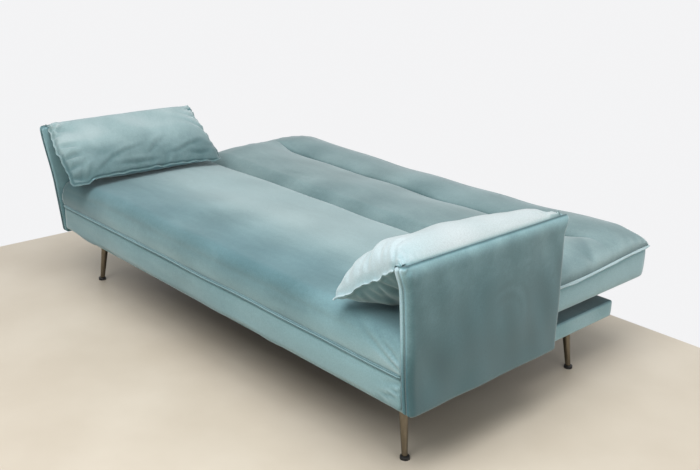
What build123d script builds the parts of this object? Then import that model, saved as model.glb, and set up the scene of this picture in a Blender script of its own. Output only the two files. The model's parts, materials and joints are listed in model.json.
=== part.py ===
"""Sofa bed with a fold-flat back, panel arms and flap cushions, in its bed position.

X runs along the sofa, -Y is the front and Z is up. The origin lies on the floor, in the middle
of the sofa's length and depth. All sizes are millimetres.
"""
import os
from math import cos, radians, sin

from build123d import *

os.makedirs("parts", exist_ok=True)

# Plan sizes
seat_length = 1860
seat_depth = 640
seat_back_gap = 10
back_end_inset = 10
back_depth = 585
arm_thickness = 42
arm_overhang = 52
base_end_inset = 45
base_front_inset = 68
base_rear_inset = 130

# Heights
leg_height = 170
base_height = 53
seat_border_height = 93
seat_cushion_height = 124
back_lift = 72
back_border_height = 85
back_cushion_height = 66
arm_height = 422

# Materials in the frame and covers
timber = 25
cover_thickness = 2
dust_thickness = 1
webbing_thickness = 2
seat_web_width = 60
seat_web_count = 9
back_web_width = 50
back_web_count = 9
welt_height = 10
welt_proud = 3
seat_front_wall = 15
seat_rear_wall = 8
seat_end_wall = 5
back_wall = 20
soft_gap = 0.3
hole_clearance = 0.2

# Legs
front_foot_inset_x = 23
rear_foot_inset_x = 47
front_foot_inset_y = 110
rear_foot_inset_y = 286
splay_x = 26
splay_y = 9
leg_top_diameter = 29
leg_foot_diameter = 17.5
glide_diameter = 29
glide_height = 10
glide_edge = 2
stud_diameter = 8
plate_size = 50
plate_thickness = 4
plate_corner = 6
plate_screw_spacing = 36
leg_block_height = 30
leg_block_half = 42

# Fasteners
screw_diameter = 4.4
screw_head_diameter = 8
screw_head_height = 2.5
screw_depth = 18
bolt_diameter = 8
bolt_head_diameter = 15
bolt_head_height = 5
seat_bolt_depth = 50
seat_bolt_inset = 130
tee_flange_diameter = 22
tee_flange_thickness = 2
arm_bolt_spacing = 200

# Click hinge of the back
near_radius = 105
pivot_drop = 28
pad_clearance = 1
hinge_inset = 145
hinge_arm_thickness = 4
hinge_arm_length = 170
hinge_arm_width = 40
hinge_play = 0.4
drum_diameter = 38
drum_width = 10
bracket_thickness = 5
bracket_neck = 40
bracket_foot = 150
bracket_edge = 6
bracket_flare = 15
pin_diameter = 12
pin_clearance = 0.04
pin_head_diameter = 22
pin_head_height = 4
pin_rivet_diameter = 18
pin_rivet_height = 2.5
pin_pocket_clearance = 3
hinge_screw_pitch = 40
slot_clearance = 3
slot_rise = 12
near_rail_offset = 80

# Arms
board_thickness = 18
board_margin = 26
board_lift = 8
arm_rear_foot = 9
arm_rear_head = 4
arm_outer_round = 7
arm_inner_round = 3
arm_corner_round = 14

# Cushion forms
seat_front_bulge = 4
seat_shoulder = 45
seat_crown = 10
back_shoulder_angle = 118
back_far_shoulder = 46
channel_width = 225
channel_depth = 28
channel_crown = 7
flap_front_inset = 20
flap_rear_inset = 24
flap_seam_offset = 22
flap_root_gap = 4
flap_flange = 5
flap_reach = 191
flap_drop = 172
flap_lip = 12
flap_top_crown = 71
flap_under_crown = 55

# Places along the depth, worked out from the sizes above
total_depth = arm_overhang + seat_depth + seat_back_gap + back_depth
front_y = -total_depth / 2
seat_front_y = front_y + arm_overhang
seat_rear_y = seat_front_y + seat_depth
back_near_y = seat_rear_y + seat_back_gap
back_far_y = back_near_y + back_depth
base_front_y = seat_front_y + base_front_inset
base_rear_y = back_far_y - base_rear_inset

# Heights of the joints between the layers
base_top = leg_height + base_height
seat_seam = base_top + seat_border_height
seat_bed = seat_seam + webbing_thickness
seat_pad_z = seat_seam + welt_height
back_bottom = base_top + back_lift
back_seam = back_bottom + back_border_height
back_bed = back_seam + webbing_thickness
back_pad_z = back_seam + welt_height
arm_top = base_top + arm_height

# Half lengths and inner faces
seat_half = seat_length / 2
back_half = seat_half - back_end_inset
base_half = seat_half - base_end_inset
front_foot_x = base_half - front_foot_inset_x
rear_foot_x = base_half - rear_foot_inset_x
flap_seam_x = seat_half + flap_seam_offset
pivot_y = back_near_y + near_radius
pivot_z = back_seam - pivot_drop
hinge_x = back_half - hinge_inset
drum_x = hinge_x + hinge_arm_thickness + hinge_play
bracket_x = drum_x + drum_width
bracket_out = bracket_x + bracket_thickness

pieces = []


def keep(piece, name):
    """Label a finished piece and put it on the list of pieces to write."""
    piece.part.label = name
    pieces.append(piece)


def block(low, high, mode=Mode.ADD):
    """Square timber between two opposite corners, in the part being built."""
    with Locations(tuple((a + b) / 2 for a, b in zip(low, high))):
        Box(*(b - a for a, b in zip(low, high)), mode=mode)


def rod(plane, diameter, length, mode=Mode.ADD):
    """Round bar or hole from a plane along its normal, or against it for a negative length."""
    end = Align.MIN if length > 0 else Align.MAX
    with Locations(plane):
        Cylinder(diameter / 2, abs(length), align=(Align.CENTER, Align.CENTER, end), mode=mode)


def along_x(x, y, z, side):
    """Plane at a point, facing outwards along X on one side of the sofa."""
    return Plane(origin=(side * x, y, z), x_dir=(0, 1, 0), z_dir=(side, 0, 0))


# Base frame: four rails, three cross rails and the blocks that carry the legs
rail_half = base_half - cover_thickness
rail_front = base_front_y + cover_thickness
rail_rear = base_rear_y - cover_thickness
cross_front = rail_front + timber
cross_rear = rail_rear - timber
seat_bolt_y = (seat_front_y + seat_bolt_inset, seat_rear_y - seat_bolt_inset)
seat_bolt_x = bracket_x - timber / 2
bolt_hole = bolt_diameter + 2 * hole_clearance
bolt_socket = bolt_head_diameter + 2 * hole_clearance
screw_hole = screw_diameter + 2 * hole_clearance

with BuildPart() as base_front_rail:
    block((-rail_half, rail_front, leg_height), (rail_half, cross_front, base_top))
keep(base_front_rail, "base_front_rail")

with BuildPart() as base_rear_rail:
    block((-rail_half, cross_rear, leg_height), (rail_half, rail_rear, base_top))
keep(base_rear_rail, "base_rear_rail")

for side, name in ((-1, "left"), (1, "right")):
    with BuildPart() as base_side_rail:
        block(
            (min(side * rail_half, side * (rail_half - timber)), cross_front, leg_height),
            (max(side * rail_half, side * (rail_half - timber)), cross_rear, base_top),
        )
    keep(base_side_rail, f"base_{name}_rail")

bracket_screw_z = leg_height + base_height / 2
bracket_screw_y = [pivot_y + step * hinge_screw_pitch for step in (-1, 0, 1)]
with BuildPart() as base_cross_rails:
    block((-timber / 2, cross_front, leg_height), (timber / 2, cross_rear, base_top))
    for side in (-1, 1):
        inner, outer = sorted((side * (bracket_x - timber), side * bracket_x))
        block((inner, cross_front, leg_height), (outer, cross_rear, base_top))
        for y in seat_bolt_y:
            foot = Plane(origin=(side * seat_bolt_x, y, leg_height))
            rod(foot, bolt_hole, base_height, Mode.SUBTRACT)
            rod(foot, bolt_socket, bolt_head_height, Mode.SUBTRACT)
        for y in bracket_screw_y:
            rod(along_x(bracket_x, y, bracket_screw_z, side), screw_hole, -screw_depth, Mode.SUBTRACT)
keep(base_cross_rails, "base_cross_rails")

# Legs: each leg leans outwards and forwards or back from its top
feet = {
    f"{end}_{name}": (side * foot_x, foot_y, -side * splay_x, lean * splay_y)
    for end, foot_x, foot_y, lean in (
        ("front", front_foot_x, seat_front_y + front_foot_inset_y, 1),
        ("rear", rear_foot_x, back_far_y - rear_foot_inset_y, -1),
    )
    for side, name in ((-1, "left"), (1, "right"))
}
leg_tops = [(x + dx, y + dy) for x, y, dx, dy in feet.values()]
plate_screws = [
    (x + i * plate_screw_spacing / 2, y + j * plate_screw_spacing / 2)
    for x, y in leg_tops
    for i in (-1, 1)
    for j in (-1, 1)
]

with BuildPart() as base_leg_blocks:
    for x, y in leg_tops:
        inner, outer = sorted((abs(x) / x * bracket_x, abs(x) / x * (rail_half - timber)))
        start = max(y - leg_block_half, cross_front)
        block((inner, start, leg_height), (outer, y + leg_block_half, leg_height + leg_block_height))
    with BuildSketch(Plane.XY.offset(leg_height)):
        with Locations(plate_screws):
            Circle(screw_hole / 2)
    extrude(amount=screw_depth, mode=Mode.SUBTRACT)
keep(base_leg_blocks, "base_leg_blocks")

with BuildPart() as base_cover:
    with BuildSketch(Plane.XY.offset(leg_height)):
        with Locations((0, (base_front_y + base_rear_y) / 2)):
            Rectangle(2 * base_half, base_rear_y - base_front_y)
            Rectangle(2 * rail_half, rail_rear - rail_front, mode=Mode.SUBTRACT)
    extrude(amount=base_height)
    fillet(base_cover.edges().filter_by(Axis.Z).group_by(SortBy.DISTANCE)[-1], cover_thickness / 2)
keep(base_cover, "base_cover")

with BuildPart() as base_dust_cover:
    with BuildSketch(Plane.XY.offset(leg_height - dust_thickness)):
        with Locations((0, (rail_front + rail_rear) / 2)):
            Rectangle(2 * rail_half, rail_rear - rail_front)
        with Locations(leg_tops):
            Rectangle(plate_size + 2 * hole_clearance, plate_size + 2 * hole_clearance, mode=Mode.SUBTRACT)
    extrude(amount=dust_thickness)
keep(base_dust_cover, "base_dust_cover")

plate_z = leg_height - plate_thickness
with BuildPart() as leg_plates:
    with BuildSketch(Plane.XY.offset(plate_z)):
        with Locations(leg_tops):
            RectangleRounded(plate_size, plate_size, plate_corner)
            Circle(stud_diameter / 2 + pin_clearance, mode=Mode.SUBTRACT)
        with Locations(plate_screws):
            Circle(screw_hole / 2, mode=Mode.SUBTRACT)
    extrude(amount=plate_thickness)
keep(leg_plates, "leg_plates")

with BuildPart() as leg_plate_screws:
    with BuildSketch(Plane.XY.offset(plate_z - screw_head_height)):
        with Locations(plate_screws):
            Circle(screw_head_diameter / 2)
    extrude(amount=screw_head_height)
    with BuildSketch(Plane.XY.offset(plate_z)):
        with Locations(plate_screws):
            Circle(screw_diameter / 2)
    extrude(amount=plate_thickness + screw_depth - hole_clearance)
keep(leg_plate_screws, "leg_plate_screws")

for name, (x, y, dx, dy) in feet.items():
    axis = Vector(dx, dy, leg_height)
    slope = axis.length / leg_height
    growth = (leg_top_diameter - leg_foot_diameter) / 2 / axis.length
    spare = leg_top_diameter
    with BuildPart() as leg:
        with Locations(Plane(origin=Vector(x, y, 0) - axis.normalized() * spare, z_dir=axis)):
            Cone(
                leg_foot_diameter / 2 - growth * spare,
                leg_top_diameter / 2 + growth * spare,
                axis.length + 2 * spare,
                align=(Align.CENTER, Align.CENTER, Align.MIN),
            )
        split(bisect_by=Plane.XY.offset(glide_height), keep=Keep.TOP)
        split(bisect_by=Plane.XY.offset(plate_z), keep=Keep.BOTTOM)
        rod(Plane(origin=(x + dx, y + dy, plate_z)), stud_diameter, plate_thickness)
    keep(leg, f"leg_{name}")

with BuildPart() as foot_glides:
    with BuildSketch():
        with Locations([(x, y) for x, y, _, _ in feet.values()]):
            Circle(glide_diameter / 2)
    extrude(amount=glide_height)
    fillet(foot_glides.edges().group_by(Axis.Z)[-1], glide_edge)
keep(foot_glides, "foot_glides")

# Seat frame inside its upholstered border
frame_half = seat_half - seat_end_wall
frame_front = seat_front_y + seat_front_wall
frame_rear = seat_rear_y - seat_rear_wall
arm_bolt_z = base_top + seat_border_height / 2
arm_bolt_y = [(frame_front + frame_rear) / 2 + step * arm_bolt_spacing for step in (-1, 0, 1)]

with BuildPart() as seat_front_rail:
    block((-frame_half, frame_front, base_top), (frame_half, frame_front + timber, seat_seam))
keep(seat_front_rail, "seat_front_rail")

with BuildPart() as seat_rear_rail:
    block((-frame_half, frame_rear - timber, base_top), (frame_half, frame_rear, seat_seam))
keep(seat_rear_rail, "seat_rear_rail")

with BuildPart() as seat_end_rails:
    for side in (-1, 1):
        inner, outer = sorted((side * (frame_half - timber), side * frame_half))
        block((inner, frame_front + timber, base_top), (outer, frame_rear - timber, seat_seam))
        for y in arm_bolt_y:
            rod(along_x(frame_half, y, arm_bolt_z, side), bolt_hole, -timber, Mode.SUBTRACT)
keep(seat_end_rails, "seat_end_rails")

with BuildPart() as seat_cross_rails:
    block((-timber / 2, frame_front + timber, base_top), (timber / 2, frame_rear - timber, seat_seam))
    for side in (-1, 1):
        inner, outer = sorted((side * (bracket_x - timber), side * bracket_x))
        block((inner, frame_front + timber, base_top), (outer, frame_rear - timber, seat_seam))
        for y in seat_bolt_y:
            foot = Plane(origin=(side * seat_bolt_x, y, base_top))
            rod(foot, bolt_hole, seat_bolt_depth + hole_clearance, Mode.SUBTRACT)
keep(seat_cross_rails, "seat_cross_rails")

with BuildPart() as seat_bolts:
    for x in (-seat_bolt_x, seat_bolt_x):
        for y in seat_bolt_y:
            rod(Plane(origin=(x, y, leg_height)), bolt_head_diameter, bolt_head_height)
            rod(Plane(origin=(x, y, leg_height)), bolt_diameter, base_height + seat_bolt_depth)
keep(seat_bolts, "seat_bolts")

with BuildPart() as seat_webbing:
    with BuildSketch(Plane.XY.offset(seat_seam)):
        with Locations((0, (frame_front + frame_rear) / 2)):
            with GridLocations(2 * frame_half / seat_web_count, 1, seat_web_count, 1):
                Rectangle(seat_web_width, frame_rear - frame_front)
    extrude(amount=webbing_thickness)
keep(seat_webbing, "seat_webbing")

with BuildPart() as seat_border:
    block((-seat_half, seat_front_y, base_top), (seat_half, seat_rear_y, seat_seam))
    block((-frame_half, frame_front, base_top), (frame_half, frame_rear, seat_seam), Mode.SUBTRACT)
    for side in (-1, 1):
        for y in arm_bolt_y:
            rod(along_x(seat_half, y, arm_bolt_z, side), bolt_hole, -seat_end_wall, Mode.SUBTRACT)
keep(seat_border, "seat_border")

with BuildPart() as seat_welt:
    block((-seat_half, seat_front_y - welt_proud, seat_seam), (seat_half, seat_rear_y, seat_pad_z))
    block((-frame_half, frame_front, seat_seam), (frame_half, frame_rear, seat_pad_z), Mode.SUBTRACT)
    front_edges = seat_welt.edges().filter_by(Axis.X).group_by(Axis.Y)[0]
    fillet(front_edges, welt_proud)
keep(seat_welt, "seat_welt")


def seat_points(rise):
    """Points of the seat cushion's cross-section above its welt, for one height of crown."""
    shoulder_z = seat_pad_z + rise - seat_crown
    side_z = shoulder_z - seat_shoulder
    bend = seat_shoulder * cos(radians(45))
    front_mid = (seat_front_y - seat_front_bulge, (seat_pad_z + side_z) / 2)
    front_bend = (seat_front_y + seat_shoulder - bend, side_z + bend)
    rear_bend = (seat_rear_y - seat_shoulder + bend, side_z + bend)
    crown = ((seat_front_y + seat_rear_y) / 2, shoulder_z + seat_crown)
    front = (front_mid, (seat_front_y, side_z))
    front_shoulder = (front_bend, (seat_front_y + seat_shoulder, shoulder_z))
    top = (crown, (seat_rear_y - seat_shoulder, shoulder_z))
    rear_shoulder = (rear_bend, (seat_rear_y, side_z))
    return front, front_shoulder, top, rear_shoulder


# Distance from the cushion's end and share of the full crown there
seat_ends = ((soft_gap, 0.80), (70, 0.90), (200, 0.97), (400, 1.0), (680, 1.0))
with BuildPart() as seat_cushion:
    stations = [(seat_half - inset, share) for inset, share in seat_ends]
    for x, share in [(-x, share) for x, share in stations] + stations[::-1]:
        with BuildSketch(Plane.YZ.offset(x)):
            with BuildLine():
                start = end = (seat_front_y, seat_pad_z)
                for bend, stop in seat_points(share * seat_cushion_height):
                    ThreePointArc(end, bend, stop)
                    end = stop
                Polyline(end, (seat_rear_y, seat_pad_z), start)
            make_face()
    loft()
    block((-frame_half, frame_front, seat_bed), (frame_half, frame_rear, seat_pad_z))
keep(seat_cushion, "seat_cushion")

# Panel arms: a plywood board inside a padded cover, bolted to the seat's ends
arm_corners = (
    (seat_front_y, base_top),
    (front_y, arm_top),
    (seat_rear_y - arm_rear_head, arm_top),
    (seat_rear_y + arm_rear_foot, base_top),
)
board_corners = (
    (seat_front_y + board_margin, base_top + board_lift),
    (front_y + board_margin, arm_top - board_margin),
    (seat_rear_y - arm_rear_head - board_margin, arm_top - board_margin),
    (seat_rear_y + arm_rear_foot - board_margin, base_top + board_lift),
)
board_x = seat_half + (arm_thickness - board_thickness) / 2
board_out = board_x + board_thickness

for side, name in ((-1, "left"), (1, "right")):
    with BuildPart() as arm_board:
        with BuildSketch(Plane.YZ.offset(side * board_x)):
            with BuildLine():
                Polyline(*board_corners, close=True)
            make_face()
        extrude(amount=side * board_thickness)
        for y in arm_bolt_y:
            rod(along_x(board_out, y, arm_bolt_z, side), bolt_hole, -board_thickness, Mode.SUBTRACT)
            rod(along_x(board_out, y, arm_bolt_z, side), bolt_socket, -bolt_head_height, Mode.SUBTRACT)
    keep(arm_board, f"arm_board_{name}")

    with BuildPart() as arm_cover:
        with BuildSketch(Plane.YZ.offset(side * seat_half)):
            with BuildLine():
                Polyline(*arm_corners, close=True)
            make_face()
        extrude(amount=side * arm_thickness)
        fillet(arm_cover.edges().filter_by(Axis.X).group_by(Axis.Z)[-1], arm_corner_round)
        across = arm_cover.faces().sort_by(Axis.X)
        inner_face, outer_face = across[0::len(across) - 1][::side]
        rounded = [(outer_face, arm_outer_round), (inner_face, arm_inner_round)]
        for face, radius in rounded:
            fillet(face.edges().sort_by(Axis.Z)[1:], radius)
        with BuildSketch(Plane.YZ.offset(side * board_x)):
            with BuildLine():
                Polyline(*board_corners, close=True)
            make_face()
        extrude(amount=side * board_thickness, mode=Mode.SUBTRACT)
        for y in arm_bolt_y:
            rod(along_x(seat_half, y, arm_bolt_z, side), bolt_hole, board_x - seat_half, Mode.SUBTRACT)
    keep(arm_cover, f"arm_cover_{name}")

nut_x = frame_half - timber
with BuildPart() as arm_bolts:
    for side in (-1, 1):
        for y in arm_bolt_y:
            rod(along_x(board_out, y, arm_bolt_z, side), bolt_head_diameter, -bolt_head_height)
            end = nut_x - tee_flange_thickness
            rod(along_x(board_out, y, arm_bolt_z, side), bolt_diameter, end - board_out)
keep(arm_bolts, "arm_bolts")

with BuildPart() as arm_tee_nuts:
    for side in (-1, 1):
        for y in arm_bolt_y:
            rod(along_x(nut_x, y, arm_bolt_z, side), tee_flange_diameter, -tee_flange_thickness)
            rod(along_x(nut_x, y, arm_bolt_z, side), bolt_hole, -tee_flange_thickness, Mode.SUBTRACT)
keep(arm_tee_nuts, "arm_tee_nuts")

# Click hinges: a bracket on the base carries a closed ratchet drum and the pin
pin_hole = pin_diameter + 2 * pin_clearance
foot_low = leg_height + bracket_edge
neck = bracket_neck / 2
foot_reach = bracket_foot / 2

for side, name in ((-1, "left"), (1, "right")):
    with BuildPart() as hinge_bracket:
        with BuildSketch(Plane.YZ.offset(side * bracket_x)):
            with BuildLine():
                Polyline(
                    (pivot_y - foot_reach, foot_low),
                    (pivot_y + foot_reach, foot_low),
                    (pivot_y + foot_reach, base_top),
                    (pivot_y + neck, base_top + bracket_flare),
                    (pivot_y + neck, pivot_z),
                    (pivot_y - neck, pivot_z),
                    (pivot_y - neck, base_top + bracket_flare),
                    (pivot_y - foot_reach, base_top),
                    close=True,
                )
            make_face()
            with Locations((pivot_y, pivot_z)):
                Circle(neck)
                Circle(pin_hole / 2, mode=Mode.SUBTRACT)
            with Locations([(y, bracket_screw_z) for y in bracket_screw_y]):
                Circle(screw_hole / 2, mode=Mode.SUBTRACT)
        extrude(amount=side * bracket_thickness)
    keep(hinge_bracket, f"hinge_bracket_{name}")

    with BuildPart() as ratchet_drum:
        rod(along_x(drum_x, pivot_y, pivot_z, side), drum_diameter, drum_width)
        rod(along_x(drum_x, pivot_y, pivot_z, side), pin_hole, drum_width, Mode.SUBTRACT)
    keep(ratchet_drum, f"ratchet_drum_{name}")

    with BuildPart() as hinge_pin:
        head_x = hinge_x - hinge_play
        rod(along_x(head_x, pivot_y, pivot_z, side), pin_head_diameter, -pin_head_height)
        rod(along_x(head_x, pivot_y, pivot_z, side), pin_diameter, bracket_out - head_x)
        rod(along_x(bracket_out, pivot_y, pivot_z, side), pin_rivet_diameter, pin_rivet_height)
    keep(hinge_pin, f"hinge_pin_{name}")

    with BuildPart() as hinge_arm:
        with BuildSketch(Plane.YZ.offset(side * hinge_x)):
            with Locations((pivot_y + hinge_arm_length / 2, pivot_z)):
                SlotCenterToCenter(hinge_arm_length, hinge_arm_width)
            with Locations((pivot_y, pivot_z)):
                Circle(pin_hole / 2, mode=Mode.SUBTRACT)
            with Locations([(pivot_y + hinge_arm_length - n * hinge_screw_pitch, pivot_z) for n in range(3)]):
                Circle(screw_hole / 2, mode=Mode.SUBTRACT)
        extrude(amount=side * hinge_arm_thickness)
    keep(hinge_arm, f"hinge_arm_{name}")

# Covered deck over the base behind the seat, slit where the brackets pass through it
deck_top = base_top + cover_thickness
with BuildPart() as base_deck:
    block((-base_half, seat_rear_y + soft_gap, base_top), (base_half, base_rear_y, deck_top))
    for side in (-1, 1):
        inner, outer = sorted((side * (bracket_x - slot_clearance), side * (bracket_out + slot_clearance)))
        block(
            (inner, pivot_y - foot_reach - slot_clearance, base_top),
            (outer, pivot_y + foot_reach + slot_clearance, deck_top),
            Mode.SUBTRACT,
        )
keep(base_deck, "base_deck")

arm_screw_y = [pivot_y + hinge_arm_length - n * hinge_screw_pitch for n in range(3)]
with BuildPart() as hinge_bracket_screws:
    for side in (-1, 1):
        for y in bracket_screw_y:
            head = along_x(bracket_out, y, bracket_screw_z, side)
            rod(head, screw_head_diameter, screw_head_height)
            rod(head, screw_diameter, hole_clearance - bracket_thickness - screw_depth)
keep(hinge_bracket_screws, "hinge_bracket_screws")

with BuildPart() as hinge_arm_screws:
    for side in (-1, 1):
        for y in arm_screw_y:
            head = along_x(hinge_x + hinge_arm_thickness, y, pivot_z, side)
            rod(head, screw_head_diameter, screw_head_height)
            rod(head, screw_diameter, hole_clearance - hinge_arm_thickness - screw_depth)
keep(hinge_arm_screws, "hinge_arm_screws")

# Back frame, with slots where the fixed brackets pass through its near edge
back_frame_half = back_half - back_wall
back_face_y = back_far_y - welt_proud
back_frame_far = back_face_y - back_wall
back_frame_near = pivot_y - near_rail_offset
back_rail_z = back_bottom + dust_thickness
back_cross_near = back_frame_near + timber
back_cross_far = back_frame_far - timber


def bracket_slots():
    """Cut the two slots that the hinge brackets pass through as the back turns."""
    for side in (-1, 1):
        inner, outer = sorted((side * (bracket_x - slot_clearance), side * (bracket_out + slot_clearance)))
        block(
            (inner, back_near_y - soft_gap, back_bottom),
            (outer, pivot_y + neck + slot_clearance, pivot_z + slot_rise),
            Mode.SUBTRACT,
        )


with BuildPart() as back_near_rail:
    block((-back_frame_half, back_frame_near, back_rail_z), (back_frame_half, back_cross_near, back_seam))
    bracket_slots()
keep(back_near_rail, "back_near_rail")

with BuildPart() as back_far_rail:
    block((-back_frame_half, back_cross_far, back_rail_z), (back_frame_half, back_frame_far, back_seam))
keep(back_far_rail, "back_far_rail")

with BuildPart() as back_end_rails:
    for side in (-1, 1):
        inner, outer = sorted((side * (back_frame_half - timber), side * back_frame_half))
        block((inner, back_cross_near, back_rail_z), (outer, back_cross_far, back_seam))
keep(back_end_rails, "back_end_rails")

with BuildPart() as back_hinge_rails:
    for side in (-1, 1):
        inner, outer = sorted((side * (hinge_x - timber), side * hinge_x))
        block((inner, back_cross_near, back_rail_z), (outer, back_cross_far, back_seam))
        pocket = pin_head_diameter + 2 * pin_pocket_clearance
        depth = pin_head_height + pin_pocket_clearance
        rod(along_x(hinge_x, pivot_y, pivot_z, side), pocket, -depth, Mode.SUBTRACT)
        for y in arm_screw_y:
            rod(along_x(hinge_x, y, pivot_z, side), screw_hole, -screw_depth, Mode.SUBTRACT)
keep(back_hinge_rails, "back_hinge_rails")

with BuildPart() as back_cross_rails:
    with BuildSketch(Plane.XY.offset(back_rail_z)):
        with Locations((0, (back_cross_near + back_cross_far) / 2)):
            with GridLocations(hinge_x / 2, 1, 3, 1):
                Rectangle(timber, back_cross_far - back_cross_near)
    extrude(amount=back_seam - back_rail_z)
keep(back_cross_rails, "back_cross_rails")

with BuildPart() as back_webbing:
    with BuildSketch(Plane.XY.offset(back_seam)):
        with Locations((0, (back_frame_near + back_frame_far) / 2)):
            with GridLocations(2 * back_frame_half / back_web_count, 1, back_web_count, 1):
                Rectangle(back_web_width, back_frame_far - back_frame_near)
    extrude(amount=webbing_thickness)
keep(back_webbing, "back_webbing")

with BuildPart() as back_dust_cover:
    block(
        (-back_frame_half, back_frame_near, back_bottom),
        (back_frame_half, back_frame_far, back_rail_z),
    )
    bracket_slots()
keep(back_dust_cover, "back_dust_cover")


def near_edge(z, radius):
    """Depth at which a circle about the hinge pin reaches a height, on the seat's side."""
    return pivot_y - (radius**2 - (z - pivot_z) ** 2) ** 0.5


with BuildPart() as back_border:
    with BuildSketch(Plane.YZ.offset(-back_half)):
        with BuildLine():
            low = (near_edge(back_bottom, near_radius), back_bottom)
            high = (near_edge(back_seam, near_radius), back_seam)
            ThreePointArc(low, (back_near_y, pivot_z), high)
            Polyline(high, (back_face_y, back_seam), (back_face_y, back_bottom), low)
        make_face()
    extrude(amount=2 * back_half)
    block(
        (-back_frame_half, back_frame_near, back_bottom),
        (back_frame_half, back_frame_far, back_seam),
        Mode.SUBTRACT,
    )
    bracket_slots()
keep(back_border, "back_border")

pad_radius = near_radius - pad_clearance
with BuildPart() as back_welt:
    block(
        (-back_half - welt_proud, near_edge(back_pad_z, pad_radius), back_seam),
        (back_half + welt_proud, back_far_y, back_pad_z),
    )
    block(
        (-back_frame_half, back_frame_near, back_seam),
        (back_frame_half, back_frame_far, back_pad_z),
        Mode.SUBTRACT,
    )
keep(back_welt, "back_welt")


def back_points(share, groove):
    """Points of the back cushion's cross-section, for shares of its crown and channel depth."""
    turn = radians(back_shoulder_angle)
    half_turn = radians((back_shoulder_angle + 160) / 2)
    top = back_pad_z + back_cushion_height

    def at(y, z):
        return (y, back_pad_z + share * (z - back_pad_z))

    roll = at(pivot_y + pad_radius * cos(half_turn), pivot_z + pad_radius * sin(half_turn))
    shoulder = at(pivot_y + pad_radius * cos(turn), pivot_z + pad_radius * sin(turn))
    seam = at(back_far_y - channel_width, top - groove * channel_depth)
    far_top = at(back_face_y - back_far_shoulder, top - channel_crown)
    wide = at((shoulder[0] + seam[0]) / 2, top)
    narrow = at((seam[0] + far_top[0]) / 2, top)
    far_bend = at(back_face_y - back_far_shoulder / 4, top - back_far_shoulder / 2)
    far_foot = (back_face_y, back_pad_z)
    return (roll, shoulder), (wide, seam), (narrow, far_top), (far_bend, far_foot)


# Inset from the end, share of the crown and share of the channel's depth there
back_ends = (
    (0, 0.45, 0.05),
    (12, 0.74, 0.05),
    (38, 0.94, 0.05),
    (100, 1.03, 0.20),
    (240, 1.03, 0.90),
    (440, 1.0, 1.0),
    (680, 1.0, 1.0),
)
with BuildPart() as back_cushion:
    stations = [(back_half - inset, share, groove) for inset, share, groove in back_ends]
    for x, share, groove in [(-x, share, groove) for x, share, groove in stations] + stations[::-1]:
        with BuildSketch(Plane.YZ.offset(x)):
            with BuildLine():
                start = end = (near_edge(back_pad_z, pad_radius), back_pad_z)
                for bend, stop in back_points(share, groove):
                    ThreePointArc(end, bend, stop)
                    end = stop
                Line(end, start)
            make_face()
    loft()
    block(
        (-back_frame_half, back_frame_near, back_bed),
        (back_frame_half, back_frame_far, back_pad_z),
    )
keep(back_cushion, "back_cushion")

# Flap cushions, sewn along the tops of the arms and hanging inwards over the seat
flap_front = front_y + flap_front_inset
flap_rear = seat_rear_y - flap_rear_inset
flap_z = arm_top + soft_gap + flap_flange / 2
flap_root = seat_half - flap_root_gap
slope = Vector(-flap_reach, -flap_drop).normalized()
upward = Vector(slope.Y, -slope.X)
half_flange = flap_flange / 2
lip = slope * flap_lip
edge = Vector(0, half_flange)
root_high = Vector(flap_root, flap_z) + edge
root_low = Vector(flap_root, flap_z) - edge
tip_high = Vector(flap_root - flap_reach, flap_z - flap_drop) + upward * half_flange
tip_low = Vector(flap_root - flap_reach, flap_z - flap_drop) - upward * half_flange
seam_high = Vector(flap_seam_x, flap_z) + edge
seam_low = Vector(flap_seam_x, flap_z) - edge
flap_middle = (root_high + root_low + tip_high + tip_low) / 4


def flap_lines(share):
    """Edges of the right flap cushion's cross-section, for a share of its full crown."""
    over = flap_middle + upward * (half_flange + share * flap_top_crown)
    under = flap_middle - upward * (half_flange + share * flap_under_crown)
    return [
        ThreePointArc(root_high, over, tip_high),
        Line(tip_high, tip_high + lip),
        Line(tip_high + lip, tip_low + lip),
        Line(tip_low + lip, tip_low),
        ThreePointArc(tip_low, under, root_low),
        Line(root_low, seam_low),
        Line(seam_low, seam_high),
        Line(seam_high, root_high),
    ]


# Distance from the flap's end and share of the full crown there
flap_ends = ((0, 0.04), (30, 0.45), (90, 0.80), (180, 0.97), (270, 1.0))
with BuildPart() as right_cushion:
    near_ends = [(flap_front + flap_lip + inset, share) for inset, share in flap_ends]
    far_ends = [(flap_rear - flap_lip - inset, share) for inset, share in flap_ends]
    for y, share in near_ends + far_ends[::-1]:
        with BuildSketch(Plane.XZ.offset(-y)):
            with BuildLine():
                flap_lines(share)
            make_face()
    loft()
    for y, run in ((flap_front + flap_lip, flap_lip), (flap_rear - flap_lip, -flap_lip)):
        with BuildSketch(Plane.XZ.offset(-y)):
            with BuildLine():
                flap_lines(flap_ends[0][1])
            make_face()
        extrude(amount=run)
keep(right_cushion, "right_arm_cushion")

with BuildPart() as left_cushion:
    mirror(right_cushion.part, about=Plane.YZ)
keep(left_cushion, "left_arm_cushion")

for piece in pieces:
    export_step(piece.part, f"parts/{piece.part.label}.step")
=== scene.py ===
"""Looks of a velvet sofa bed, shown folded flat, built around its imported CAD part.

Each upholstered sub-assembly is a class that models its covers and pads in metres, in the part's own
frame: X along the sofa, -Y to the front, Z up, with the origin on the floor under the middle.
"""

import json
import logging
import math
from dataclasses import dataclass
from enum import Enum
from typing import Any, Iterable, Sequence

import bpy
import numpy as np
from mathutils import Matrix, Vector

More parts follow.
